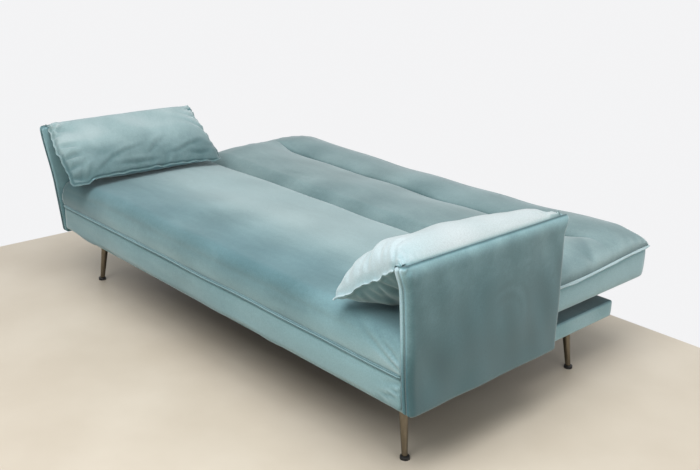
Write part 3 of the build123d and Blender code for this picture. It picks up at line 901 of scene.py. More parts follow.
@dataclass
class SeatUpholstery:
    """Seat pad, its flat stitched welt and the border below them.

    Attributes:
        half: Half of the pad's length.
        rim_half: Half of the length of the welt and the border.
        front: Depth of the front seam.
        rear: Depth of the rear seam.
        seam: Height of the seam round the pad.
        border_foot: Height of the border's lower edge.
        height: Height of the pad over its seam.
        crown: How far the pad's middle rises over its shoulders.
        shoulder: Radius of the pad's long upper edges.
        face_share: Share of the section that is divided finely, for the front face.
    """

    half: float = 0.9285
    rim_half: float = 0.930
    front: float = -0.5915
    rear: float = 0.0485
    seam: float = 0.326
    border_foot: float = 0.223
    height: float = 0.124
    crown: float = 0.010
    shoulder: float = 0.045
    face_share: float = 0.16

    def section(self) -> Array:
        """Return the pad's cross-section in y and z, from its front seam over the top to the rear one."""
        top = self.seam + self.height
        shoulder_z = top - self.crown
        side_z = shoulder_z - self.shoulder
        bend = self.shoulder * math.cos(math.pi / 4)
        near, far = self.front + self.shoulder, self.rear - self.shoulder
        legs = (
            ((self.front - 0.005, (self.seam + side_z) / 2), (self.front, side_z), 14),
            ((near - bend, side_z + bend), (near, shoulder_z), 20),
            (((self.front + self.rear) / 2, top), (far, shoulder_z), 80),
            ((far + bend, side_z + bend), (self.rear, side_z), 20),
        )
        return np.vstack([chain((self.front, self.seam), legs), (self.rear, self.seam)])

    def rim(self) -> tuple[Array, Array]:
        """Return the path of the welt and the border, and its outward directions."""
        low, high = (-self.rim_half, self.front), (self.rim_half, self.rear)
        return rounded_path(low, high, corner=0.010, step=0.012)

    def fall_at(self, x: Array) -> Array:
        """Return the share of the pad's full height at places along the sofa."""
        end = np.maximum(self.half - np.abs(x), 0)
        sag = np.where(x > 0, 0.18, 0.11)
        return (1 - sag * fade(end, 0.085)) * (0.88 + 0.12 * swell(end, 0.045))

    def top_at(self, x: Array, y: Array) -> Array:
        """Return the height of the pad's upper side, or of a seam or edge where there is none.

        Args:
            x: Places along the sofa.
            y: Places across its depth.

        Returns:
            One height for each place.
        """
        crest = self.section()[16:-1]  # from the front shoulder on, where the depth rises
        height = np.interp(y, crest[:, 0], crest[:, 1], left=self.seam, right=self.seam)
        height = self.seam + (height - self.seam) * self.fall_at(x)
        return np.where(np.abs(x) < self.half, height, self.border_foot)

    def pad_nap(self, flat: Array, y: Array, z: Array, pulled: Array) -> tuple[Array, Array]:
        """Return the tone and the cast of the pad's nap, with its painted light and shade.

        Args:
            flat: Places on the smooth pad, as rows x and y.
            y: Depths on the wrinkled pad.
            z: Heights on it.
            pulled: Heights of the puckers at the right-hand end.

        Returns:
            One tone and one cast for each place.
        """
        x, slope = flat[:, 0], ease(-y, 0.22, 0.50)
        # Painted shade: the front slope darker than the top, over a random drift of the nap.
        tone = 0.72 - 1.14 * slope + 0.08 * ripple(flat, 0.30, 5)
        # Painted light: the low front face lighter away from the left end, and the front slope lighter
        # towards the right end.
        low_front = 0.70 * (1 - ease(z, 0.335, 0.430)) * ease(x, -1.0, -0.3)
        tone = tone + slope * (low_front + 0.95 * ease(x, 0.52, 0.80))
        # Painted light where the right cushion's shadow falls on the seat, and painted shade towards the left
        # end.
        flap_shadow_fill = ease(x, 0.68, 0.80) * ease(-y, 0.32, 0.46) * ease(z, 0.425, 0.445)
        tone = tone - 0.48 * (1 - ease(x, -0.92, -0.45)) + 0.30 * flap_shadow_fill
        # Painted shade along the seam's groove and in the puckers, painted highlights on their ridges; the
        # cast paints the bluish tint of the shaded front slope and of the cushion's shadow.
        tone = tone - 0.9 * bell(z - self.seam, 0.004) + 0.45 * np.clip(pulled, -1, 0.6)
        return tone, np.maximum(0.9 * slope, flap_shadow_fill)

    def build_pad(self) -> None:
        """Model the seat pad and let its cover settle."""
        stops = spread(2 * self.half, fine=0.004, coarse=0.014)
        face, rest = np.linspace(0, self.face_share, 30), np.linspace(self.face_share, 1, 64)
        runs = np.concatenate([face, rest[1:]])
        sheet = Sheet.cut("seat_pad", len(stops) - 1, len(runs) - 1)
        x = stops[sheet.column] - self.half
        y, z = along(self.section(), runs)[sheet.row].T
        end = self.half - np.abs(x)
        z = self.seam + (z - self.seam) * self.fall_at(x)
        flat = np.stack([x, y], 1)
        high = np.clip((z - self.seam) / self.height, 0, 1)
        z = z + 0.0022 * ripple(flat, 0.45, 3) * high
        y = y + 0.0012 * ripple(flat, 0.3, 4) * np.clip(high * 3, 0, 1) * (1 - high)
        pulled = gathers(z - self.seam, end, self.height, seed=6, spacing=0.022, reach=0.070, lean=0.5)
        pulled = pulled * ease(-y, 0.50, 0.58) * ease(x, 0, 0.5)
        y = y - 0.0055 * pulled
        inside = np.clip(y, self.front + 0.004, self.rear - 0.004)
        under = np.stack([x, inside, np.full_like(z, self.seam - 0.004)], 1)
        move_points(sheet.piece, np.where(sheet.upper[:, None], np.stack([x, y, z], 1), under))
        held = ~sheet.upper | (sheet.row == 0) | (sheet.row == len(runs) - 1) | (end < 0.002)
        ClothRun(pressure=2.0, slack=0.006, cap=0.010).settle(sheet.piece, held.astype(float))
        tone, cast = self.pad_nap(flat, y, z, pulled)
        upholster(sheet.piece, "base", ("seat_cushion",), tone, cast)

    def build_border(self) -> None:
        """Model the border band that wraps the seat frame below the welt."""
        profile = along(np.array(SEAT_BORDER), np.linspace(0, 1, 56))
        band = Band.cut("seat_border_band", self.rim(), profile)
        x = band.spot[:, 0]
        behind = band.facing[:, 1] > ALONG
        out = np.where(behind, np.clip(band.out, -0.0075, 0.0), band.out)
        z = np.where(behind & (band.z < self.border_foot), self.border_foot + 0.0005, band.z)
        wave = ripple(np.stack([x, 3 * z], 1), 0.34, 11)
        high, end = z - self.border_foot, self.rim_half - np.abs(x)
        pulled = gathers(high, end, length=0.10, seed=13, spacing=0.024, reach=0.065, lean=-0.5)
        pulled = pulled * ease(x, 0, 0.5)
        band.out = out + np.where(out > -0.006, 0.0012 * wave + 0.0050 * pulled, 0)
        band.z = z - np.where((z < 0.232) & ~behind, 0.0030 * (1 + ripple(band.spot, 0.28, 12)), 0)
        points = band.points()
        points[:, 0] = x + band.facing[:, 0] * np.minimum(band.out, 0)
        move_points(band.piece, points)
        # Painted light and shade: lighter towards the right end, painted shade along the lower edge, under
        # the welt and in the puckers, with highlights on their ridges; the cast paints the bluish tint of the
        # shaded front.
        tone = 0.15 + 0.70 * ease(x, -0.2, 0.8) - 1.0 * (1 - ease(band.z, 0.222, 0.240))
        tone = tone - 0.8 * ease(band.z, 0.308, 0.314) + 0.45 * np.clip(pulled, -1, 0.6)
        upholster(band.piece, "base", ("seat_border",), tone, 0.9)

    def build_welt(self) -> None:
        """Model the flat double-stitched welt between the pad and the border."""
        band = Band.cut("seat_welt_band", self.rim(), SEAT_WELT)
        band.z = band.z + 0.0012 * ripple(band.spot, 0.5, 21)
        band.out = np.where(band.facing[:, 1] < -ALONG, band.out, np.clip(band.out, -0.004, 0))
        move_points(band.piece, band.points())
        # Painted shade in the welt's grooves and the raised rib set lighter as a painted highlight, with the
        # bluish tint of the shaded front.
        upholster(band.piece, "base", ("seat_welt",), np.where(band.out > 0.002, 0.75, -0.9), 0.8)

    def build(self) -> None:
        """Build the seat's upholstery."""
        self.build_pad()
        self.build_border()
        self.build_welt()


@dataclass
class BackUpholstery:
    """Folding back: a pad with a sewn channel, its stitched welt and its border.

    Attributes:
        half: Half of the back's length.
        near: Depth of the edge beside the seat.
        far: Depth at which the far corners are pulled up most.
        face: Depth of the far edge.
        seam: Height of the seam round the pad.
        crown: Height of the pad over its seam.
        pivot: Axis of the hinges, in y and z.
        roll: Radius of the near edge about that axis.
        channel: Depth of the sewn channel.
        slot: Lowest and highest y and z of the slots for the hinge brackets.
    """

    half: float = 0.920
    near: float = 0.0585
    far: float = 0.6435
    face: float = 0.6405
    seam: float = 0.390
    crown: float = 0.066
    pivot: tuple[float, float] = (0.1635, 0.352)
    roll: float = 0.104
    channel: float = 0.4185
    slot: tuple[tuple[float, float], tuple[float, float]] = ((0.040, 0.285), (0.190, 0.364))

    def lift_at(self, x: Array, y: Array) -> Array:
        """Return how far the seam is pulled up towards the far corners."""
        height = np.where(x > 0, 0.020, 0.006)
        return height * ease(y, 0.20, self.far) * fade(self.half - np.abs(x), 0.14)

    def on_roll(self, angle: float) -> tuple[float, float]:
        """Return the point of the near edge at an angle about the hinge."""
        turn = math.radians(angle)
        return self.pivot[0] + self.roll * math.cos(turn), self.pivot[1] + self.roll * math.sin(turn)

    def section(self, groove: float) -> Array:
        """Return the pad's cross-section in y and z for a share of the channel's depth."""
        top = self.seam + self.crown
        foot = (self.pivot[0] - math.sqrt(self.roll**2 - (self.seam - self.pivot[1]) ** 2), self.seam)
        shoulder, valley = self.on_roll(118), (self.channel, top - groove * 0.028)
        far_top = (self.face - 0.046, top - 0.007)
        return chain(foot, (
            (self.on_roll(139), shoulder, 14),
            (((shoulder[0] + valley[0]) / 2, top), valley, 44),
            (((valley[0] + far_top[0]) / 2, top), far_top, 30),
            ((self.face - 0.0115, top - 0.023), (self.face, self.seam), 16),
        ))

    def rim(self, corner: float) -> tuple[Array, Array]:
        """Return the path of the welt or the border, and its outward directions."""
        return rounded_path((-self.half, self.near + 0.010), (self.half, self.face), corner, step=0.012)

    def build_pad(self) -> None:
        """Model the back pad with its sewn channel."""
        stops = spread(2 * self.half, fine=0.003, coarse=0.012)
        full, plain = self.section(1.0), self.section(0.03)
        sheet = Sheet.cut("back_pad", len(stops) - 1, len(full) - 1)
        x = stops[sheet.column] - self.half
        end = self.half - np.abs(x)
        groove = ease(end, 0.05, 0.22)[:, None]
        y, z = (plain[sheet.row] * (1 - groove) + full[sheet.row] * groove).T
        crease = fade(np.abs(y - self.channel), 0.008) * groove[:, 0]
        rise = swell(end, np.where(x > 0, 0.15, 0.085), np.where(x > 0, 2.5, 3.4))
        rise = rise * (1 + 0.15 * ease(end, 0.04, 0.12) * (1 - ease(end, 0.25, 0.55)))
        z = self.seam + (z - self.seam) * rise - 0.018 * crease
        flat = np.stack([x, y], 1)
        z = z + 0.0020 * ripple(flat, 0.40, 31) * np.clip((z - self.seam) / 0.05, 0, 1)
        puckers, depth = np.zeros(len(x)), self.face - self.near
        for seed, mask in ((35, x > 0), (36, x <= 0)):
            puckers += np.where(mask, gathers(y - self.near, end, depth, seed, spacing=0.060, reach=0.055), 0)
        lift = self.lift_at(x, y)
        z = z + 0.0050 * puckers * ease(y, self.near + 0.05, self.near + 0.15) + lift
        inside = np.clip(y, self.near + 0.012, self.face - 0.004)
        under = np.stack([x * 0.997, inside, self.seam - 0.004 + lift], 1)
        move_points(sheet.piece, np.where(sheet.upper[:, None], np.stack([x, y, z], 1), under))
        sweep = np.hypot((x - 0.72) / 0.235, (y - 0.20) / 0.215)
        stroke = (1 - ease(sweep, 0.90, 1.0)) * ease(sweep, 0.55, 0.9) * ease(x, 0.70, 0.78)
        tone = 0.02 + (0.22 - 0.30 * ease(y, 0.30, 0.55)) * ease(x, 0.50, 0.80) - 0.42 * stroke
        # Painted light on the pad near its ends, and painted shade along the end seams, in the sewn channel
        # and in the puckers, over a random drift of the nap.
        tone = tone + 0.08 * ripple(flat, 0.25, 33) + 0.55 * bell(end, 0.022)
        tone = tone - 0.9 * fade(end, 0.002) - 2.0 * crease**2 + np.clip(0.25 * puckers, -0.3, 0.1)
        upholster(sheet.piece, "backrest", ("back_cushion",), tone)

    def build_border(self) -> None:
        """Model the border band round the back's frame, slotted where the hinge brackets pass."""
        band = Band.cut("back_border_band", self.rim(0.022), BACK_BORDER)
        reach = (self.roll + 0.0005) ** 2 - (band.z - self.pivot[1]) ** 2
        band.out = np.where(band.facing[:, 1] < -ALONG, np.minimum(band.out, -0.002), band.out)
        band.z = band.z + self.lift_at(*band.spot.T) * ease(band.z, 0.320, 0.380)
        points = band.points()
        limit = self.pivot[0] - np.sqrt(np.maximum(reach, 0))
        points[:, 1] = np.maximum(points[:, 1], limit + 0.0005)
        move_points(band.piece, points)
        low, high = self.slot
        for first, last in (HINGE_SLOT, (-HINGE_SLOT[1], -HINGE_SLOT[0])):
            cut_slot(band.piece, (first, *low), (last, *high))
        # A raised tone paints light on the shaded border, and the cast paints the bluish tint of its shade.
        upholster(band.piece, "backrest", ("back_border",), 1.0, 0.9)

    def build_welt(self) -> None:
        """Model the stitched welt between the back's pad and border."""
        band = Band.cut("back_welt_band", self.rim(0.018), BACK_WELT)
        x, y = band.spot.T
        lip = ease(band.out, 0.002, 0.007)
        z = band.z + lip * (0.0010 * ripple(band.spot, 0.045, 37) + 0.0008 * ripple(band.spot, 0.16, 38))
        corner = fade(np.hypot(np.abs(x) - self.half, y - self.face), 0.016)
        out = band.out * (1 + 0.9 * lip * corner)
        band.z = z + 0.004 * lip * corner + self.lift_at(x, y)
        band.out = np.where(band.facing[:, 1] < -ALONG, np.clip(out, -0.004, 0), out)
        move_points(band.piece, band.points())
        # The welt's lip is set pale, partly a painted highlight on its edge, with a slight painted bluish
        # tint.
        upholster(band.piece, "backrest", ("back_welt",), 1.3, 0.3)

    def build(self) -> None:
        """Build the back's upholstery."""
        self.build_pad()
        self.build_border()
        self.build_welt()


@dataclass
class BaseCover:
    """Velvet wrapped round the base frame and laid over the deck behind the seat.

    Attributes:
        half: Half of the base's length.
        front: Depth of the base's front.
        rear: Depth of the base's rear.
        deck_front: Depth where the deck begins behind the seat.
        deck_top: Height of the deck's cover.
        edge: How far the deck's cover stays inside the base's outline.
        slit_y: Depths between which the deck's cover is slit for the hinge brackets.
    """

    half: float = 0.885
    front: float = -0.5235
    rear: float = 0.5135
    deck_front: float = 0.0495
    deck_top: float = 0.2266
    edge: float = 0.004
    slit_y: tuple[float, float] = (0.0855, 0.2415)

    def build_wrap(self) -> None:
        """Model the wrapped cover with its turned-under edges."""
        path = rounded_path((-self.half, self.front), (self.half, self.rear), corner=0.008, step=0.014)
        band = Band.cut("base_wrap", path, BASE_WRAP)
        x, y = band.spot.T
        band.z = np.where(y < self.deck_front, np.minimum(band.z, 0.2228), band.z)
        move_points(band.piece, band.points())
        # A raised tone paints light on the shaded base cover, over a random drift of the nap, and the cast
        # paints the bluish tint of its shade.
        tone = 0.85 + 0.10 * ripple(np.stack([x + y, band.z], 1), 0.2, 51)
        upholster(band.piece, "base", ("base_cover",), tone, 1.0)

    def build_deck(self) -> None:
        """Model the cover over the deck, slit where the hinge brackets come up."""
        border = np.array([0.0, 0.0012, 0.003, 0.006, 0.010])
        outer, rear, cells = self.half - self.edge, self.rear - self.edge, 8
        arm = np.concatenate([border, [0.045], [outer - HINGE_SLOT[1], outer - HINGE_SLOT[0]]])
        x_stops = np.concatenate([-outer + arm, np.linspace(-0.76, 0.76, 60), np.flip(outer - arm)])
        y_stops = np.concatenate([
            self.deck_front + border, np.linspace(*self.slit_y, cells + 1), np.linspace(0.26, 0.49, 12),
            np.flip(rear - border),
        ])
        columns, first = len(x_stops) - 1, len(border)
        slits = [(side, side + 1, first, first + cells) for side in (6, columns - 7)]
        sheet = Sheet.cut("base_deck_cover", columns, len(y_stops) - 1, slits)
        x, y = x_stops[sheet.column], y_stops[sheet.row]
        near_edge = np.minimum(outer - np.abs(x), np.minimum(y - self.deck_front, rear - y))
        top = self.deck_top - 0.0022 * (1 - swell(near_edge, 0.008))
        top = top + 0.0004 * ripple(np.stack([x, y], 1), 0.12, 52)
        z = np.where(sheet.upper, top, self.deck_top - 0.0034)
        move_points(sheet.piece, np.stack([x, y, z], 1))
        # A lowered tone paints shade on the deck under the back, and the cast paints the bluish tint of that
        # shade.
        upholster(sheet.piece, "base", ("base_deck",), -0.2, 0.9)

    def build(self) -> None:
        """Build the base's covers."""
        self.build_wrap()
        self.build_deck()


@dataclass(frozen=True)
class ArmLayer:
    """One upholstered layer of a panel arm.

    Attributes:
        word: Name of the layer.
        low: Place of its face towards the seat.
        high: Place of its face away from the seat.
        nose: Place of the foremost line of its rounded edge.
        edge: Reach of the rounding along its upright edges and foot, on its low and high faces.
        top: Reach of the rounding along its top.
        bulge: Height of the padding in the middle of its outer face.
        head: Height of its top.
        lit: Strength of the painted highlight along its front edge, which stands in for sheen on the turned
            edge.
    """

    word: str
    low: float
    high: float
    nose: float
    edge: tuple[float, float]
    top: float
    bulge: float
    head: float
    lit: float


ARM_LAYERS = (
    ArmLayer("liner", 0.9304, 0.9450, 0.9375, (0.0055, 0.0065), 0.006, 0.0, 0.6440, 2.2),
    ArmLayer("panel", 0.9455, 0.9690, 0.9530, (0.0070, 0.0180), 0.034, 0.003, 0.6478, 1.05),
)


@dataclass
class ArmPanel:
    """Panel arm: a flat liner on the seat's side and a padded panel sewn to its outside.

    Attributes:
        side: End of the sofa that it stands at.
        foot: Height of its lower edge.
        corner: Radius of its corners.
        length: Depth that the spacing of its mesh is set out for.
        swirl: Middle of the brushed swirl on its outside, in y and z.
    """

    side: Side
    foot: float = 0.2085
    corner: float = 0.012
    length: float = 0.67
    swirl: tuple[float, float] = (-0.215, 0.395)

    def front_at(self, z: Array) -> Array:
        """Return the depth of the front edge at a height."""
        straight = -0.5915 - 0.052 * (z - 0.223) / 0.422
        if self.side is Side.LEFT:
            return straight - 0.014 * ease(z, 0.40, 0.64)
        return straight + (0.008 + 0.007 * ease(z, 0.30, 0.55)) * (1 - ease(z, 0.575, 0.648))

    def rear_at(self, z: Array) -> Array:
        """Return the depth of the rear edge at a height."""
        if self.side is Side.LEFT:
            return 0.0570 - 0.016 * (z - 0.223) / 0.422 - 0.032 * ease(z, 0.540, 0.648)
        return 0.0655 - 0.020 * (z - 0.223) / 0.422 + 0.020 * ease(z, 0.590, 0.640)

    def edges(self, layer: ArmLayer, z: Array) -> tuple[Array, Array]:
        """Return the depths of a layer's front and rear edges at a height, with its corners rounded."""
        short = np.clip(self.corner - np.minimum(layer.head - z, z - self.foot), 0, None)
        inset = self.corner - np.sqrt(self.corner**2 - short**2)
        return self.front_at(z) + inset, self.rear_at(z) - inset

    def nap(self, layer: ArmLayer, upper: Array, y: Array, z: Array) -> Array:
        """Return the tone of a layer's nap, with its painted light and shade.

        Args:
            layer: The layer.
            upper: True for places on its face away from the seat.
            y: Depths of the places.
            z: Heights of the places.

        Returns:
            One tone for each place.
        """
        top = layer.head - z
        across, up = y - self.swirl[0], z - self.swirl[1]
        swirl = np.hypot(across, up)
        facing_up = ease((up + 0.6 * across) / np.maximum(swirl, 1e-4), 0.1, 0.9)
        arcs = np.sin(2 * np.pi * swirl / 0.040) * bell(swirl - 0.085, 0.035) * facing_up
        strokes = ripple(np.stack([3 * y + 2 * z, z - y], 1), 0.35, 43)
        # Painted highlight along the right arm's front edge, weaker lower down, and a slight painted shade
        # there on the left arm.
        lit = layer.lit * (0.35 + 0.65 * ease(z, 0.25, 0.50)) if self.side is Side.RIGHT else -0.1
        by_edge = fade(y - self.edges(layer, z)[0], 0.008)
        # Painted shade over the arm, deepest low down, and a painted highlight along its rounded top, over
        # brushed strokes and swirls of nap.
        tone = -1.26 + 0.78 * ease(z, 0.35, 0.60) + 1.1 * bell(top, 0.026) + 0.12 * strokes
        tone = tone + lit * by_edge + np.where(upper, 0.18 * arcs, 0)
        if layer.bulge:
            # Painted shade in the top seam's groove, partly pile crushed by the seam, and in the groove
            # between panel and liner at the front.
            return tone - 2.4 * bell(top, 0.0024) - np.where(upper, 0, 0.5 * by_edge)
        if self.side is Side.LEFT:
            # The left liner's face towards the seat is painted lighter against the cushion's shadow, and its
            # top darker, without the painted top highlight.
            return tone + np.where(upper, 0, 1.3) - 1.4 * bell(top, 0.03)
        return tone

    def build_layer(self, layer: ArmLayer) -> None:
        """Model one layer as a closed cover with rounded edges.

        Args:
            layer: The layer to model.
        """
        height = layer.head - self.foot
        across = spread(self.length, fine=0.0012, coarse=0.010) / self.length
        up = spread(height, fine=0.0012, coarse=0.010)
        sheet = Sheet.cut(f"arm_{layer.word}_{self.side.word}", len(across) - 1, len(up) - 1)
        upper = sheet.upper
        z = self.foot + up[sheet.row]
        top, bottom = layer.head - z, z - self.foot
        first, last = self.edges(layer, z)
        y = first + across[sheet.column] * (last - first)
        ends = np.minimum(y - first, last - y)
        reach = np.where(upper, layer.edge[1], layer.edge[0])
        rounding = swell(ends, reach, 2.2) * swell(top, np.where(upper, layer.top, 0.006))
        rounding = rounding * swell(bottom, 0.7 * reach)
        flat = np.stack([y, z], 1)
        middle = np.sin(np.pi * np.clip((y - first) / (last - first), 0, 1))
        middle = middle * np.sin(np.pi * np.clip(bottom / height, 0, 1))
        knot = bell(np.hypot(top, y - first), 0.040) * ease(ends, 0.0, 0.006)
        padding = layer.bulge * middle + 0.3 * layer.bulge * ripple(flat, 0.22, 41) * rounding
        padding = padding + 1.1 * layer.bulge * ripple(flat, 0.026, 45) * knot
        depth = np.where(upper, layer.high, layer.low) - layer.nose
        x = layer.nose + (depth * rounding + np.where(upper, padding, 0))
        move_points(sheet.piece, np.stack([self.side.value * x, y, z], 1))
        nodes = (f"arm_cover_{self.side.word}",) if layer.bulge else ()
        upholster(sheet.piece, "base", nodes, self.nap(layer, upper, y, z), 0.9)

    def build(self) -> None:
        """Build the arm's upholstery."""
        for layer in ARM_LAYERS:
            self.build_layer(layer)


def fold(places: Array, path: Sequence[tuple[float, float]], wide: float) -> Array:
    """Return how near points lie to a crease that fades out at its ends, 1 at its middle.

    Args:
        places: Rows of two coordinates on the cloth.
        path: Points of the crease on the cloth.
        wide: Half width of the crease.

    Returns:
        One value for each point.
    """
    knots = np.array(path)
    spans = np.linalg.norm(np.diff(knots, axis=0), axis=1)
    total, gone = spans.sum(), 0.0
    near = np.zeros(len(places))
    for start, end, span in zip(knots, knots[1:], spans):
        heading = (end - start) / span
        step = np.clip((places - start) @ heading, 0, span)
        gap = np.linalg.norm(places - start - step[:, None] * heading, axis=1)
        taper = np.sin(np.pi * np.clip((gone + step) / total, 0.02, 0.98)) ** 0.6
        near = np.maximum(near, taper * bell(gap, wide))
        gone += span
    return near


@dataclass(frozen=True)
class FlapShape:
    """How one flap cushion lies over the seat.

    Attributes:
        tip: Place of its free seam in x and z.
        crown: Height of its upper sheet over the line from seam to seam.
        sag: Share by which its crown is lower behind its middle.
        belly: Depth of its lower sheet under that line.
        roundness: Fullness of the section on the arm's side and on the free side, 2 for an ellipse.
        fullest: Share of the width, from the arm, where it is fullest.
        end_reach: Distances from the front and the rear end over which it fills out.
        end_power: Fullness of the ends, 2 for an ellipse.
        gather: Depth of the puckers along the front and the rear end.
        flare: How much further the front and rear ends reach by the arm.
        forward: How much further the front end reaches by the free edge.
        ruffle: How far the front and rear hems wander up and down.
        corner: How much the front and rear corners of the free edge are rounded.
        droop: How far those corners hang down.
        tone: Tone of its upper sheet by the arm and by the free edge, and the gain at the front: partly nap,
            partly painted light and shade, such as a pale top that stands in for sheen and a darker, shaded
            free edge.
        folds: Creases in its upper sheet, as points of depth and distance from the arm.
    """

    tip: tuple[float, float]
    crown: float
    sag: float
    belly: float
    roundness: tuple[float, float]
    fullest: float
    end_reach: tuple[float, float]
    end_power: float
    gather: tuple[float, float]
    flare: tuple[float, float]
    forward: float
    ruffle: float
    corner: tuple[float, float]
    droop: tuple[float, float]
    tone: tuple[float, float, float]
    folds: tuple[tuple[tuple[float, float], ...], ...]


LEFT_FOLDS = (
    ((-0.02, 0.205), (-0.11, 0.224), (-0.18, 0.248), (-0.23, 0.246)),
    ((-0.21, 0.175), (-0.26, 0.208), (-0.31, 0.240)),
    ((-0.24, 0.180), (-0.29, 0.215)),
    ((-0.53, 0.275), (-0.46, 0.230), (-0.39, 0.209), (-0.31, 0.197)),
    ((-0.45, 0.262), (-0.36, 0.264), (-0.27, 0.268)),
    ((-0.13, 0.255), (-0.07, 0.262), (-0.02, 0.255)),
    ((-0.590, 0.285), (-0.580, 0.255), (-0.572, 0.225)),
    ((-0.562, 0.286), (-0.552, 0.258), (-0.540, 0.232)),
)
RIGHT_FOLDS = (
    ((-0.606, 0.035), (-0.575, 0.052), (-0.530, 0.050)),
    ((-0.604, 0.062), (-0.560, 0.085), (-0.520, 0.078)),
    ((-0.606, 0.095), (-0.555, 0.118)),
    ((-0.604, 0.150), (-0.560, 0.160), (-0.510, 0.150)),
    ((-0.604, 0.185), (-0.550, 0.190), (-0.500, 0.178)),
    ((-0.602, 0.245), (-0.560, 0.238)),
)
# Their tones paint light and shade: the right cushion's pale top stands in for sheen, and the left one
# darkens towards its shaded free edge.
FLAP_SHAPES = {
    Side.LEFT: FlapShape(
        tip=(0.7190, 0.4800), crown=0.045, sag=0.0, belly=0.110, roundness=(2.4, 1.6), fullest=0.52,
        end_reach=(0.19, 0.19), end_power=2.2, gather=(0.0170, 0.0090), flare=(0.020, -0.006), forward=0.032,
        ruffle=0.0030, corner=(0.003, 0.018), droop=(0.016, 0.026), tone=(0.97, -0.36, 0.0), folds=LEFT_FOLDS,
    ),
    Side.RIGHT: FlapShape(
        tip=(0.7010, 0.4745), crown=0.091, sag=0.13, belly=0.135, roundness=(2.2, 2.9), fullest=0.46,
        end_reach=(0.15, 0.30), end_power=2.5, gather=(0.0070, 0.0080), flare=(0.020, 0.016), forward=0.0,
        ruffle=0.0014, corner=(0.0, 0.014), droop=(0.0, 0.0), tone=(1.66, 1.50, 0.62), folds=RIGHT_FOLDS,
    ),
}


@dataclass(frozen=True)
class FlapGrid:
    """Where each vertex of a flap cushion lies on the pattern of its double sheet.

    Attributes:
        sheet: The double sheet.
        y: Depth of each vertex.
        inside: Depth of each vertex, held between the end seams.
        share: Share of the width, from the arm.
        run: Distance from the arm's seam.
        to_tip: Distance from the free seam.
        from_front: Distance from the front seam.
        from_rear: Distance from the rear seam.
        front_half: True in the front half.
        lip_row: True on the flange of the free seam.
        lip_ends: True on the flanges of the end seams.
    """

    sheet: Sheet
    y: Array
    inside: Array
    share: Array
    run: Array
    to_tip: Array
    from_front: Array
    from_rear: Array
    front_half: Array
    lip_row: Array
    lip_ends: Array

    @property
    def end(self) -> Array:
        """Return the distance from the nearer end seam."""
        return np.minimum(self.from_front, self.from_rear)

    @property
    def to_seam(self) -> Array:
        """Return the distance from the nearest of the free seam and the end seams."""
        return np.minimum(self.end, self.to_tip)

    @property
    def lips(self) -> Array:
        """Return True for each vertex on a flange."""
        return self.lip_row | self.lip_ends

    @property
    def sewn(self) -> Array:
        """Return True for each vertex that is sewn into the arm."""
        return self.sheet.row == 0

    @property
    def places(self) -> Array:
        """Return the depth and the distance from the arm, as rows."""
        return np.stack([self.y, self.run], 1)


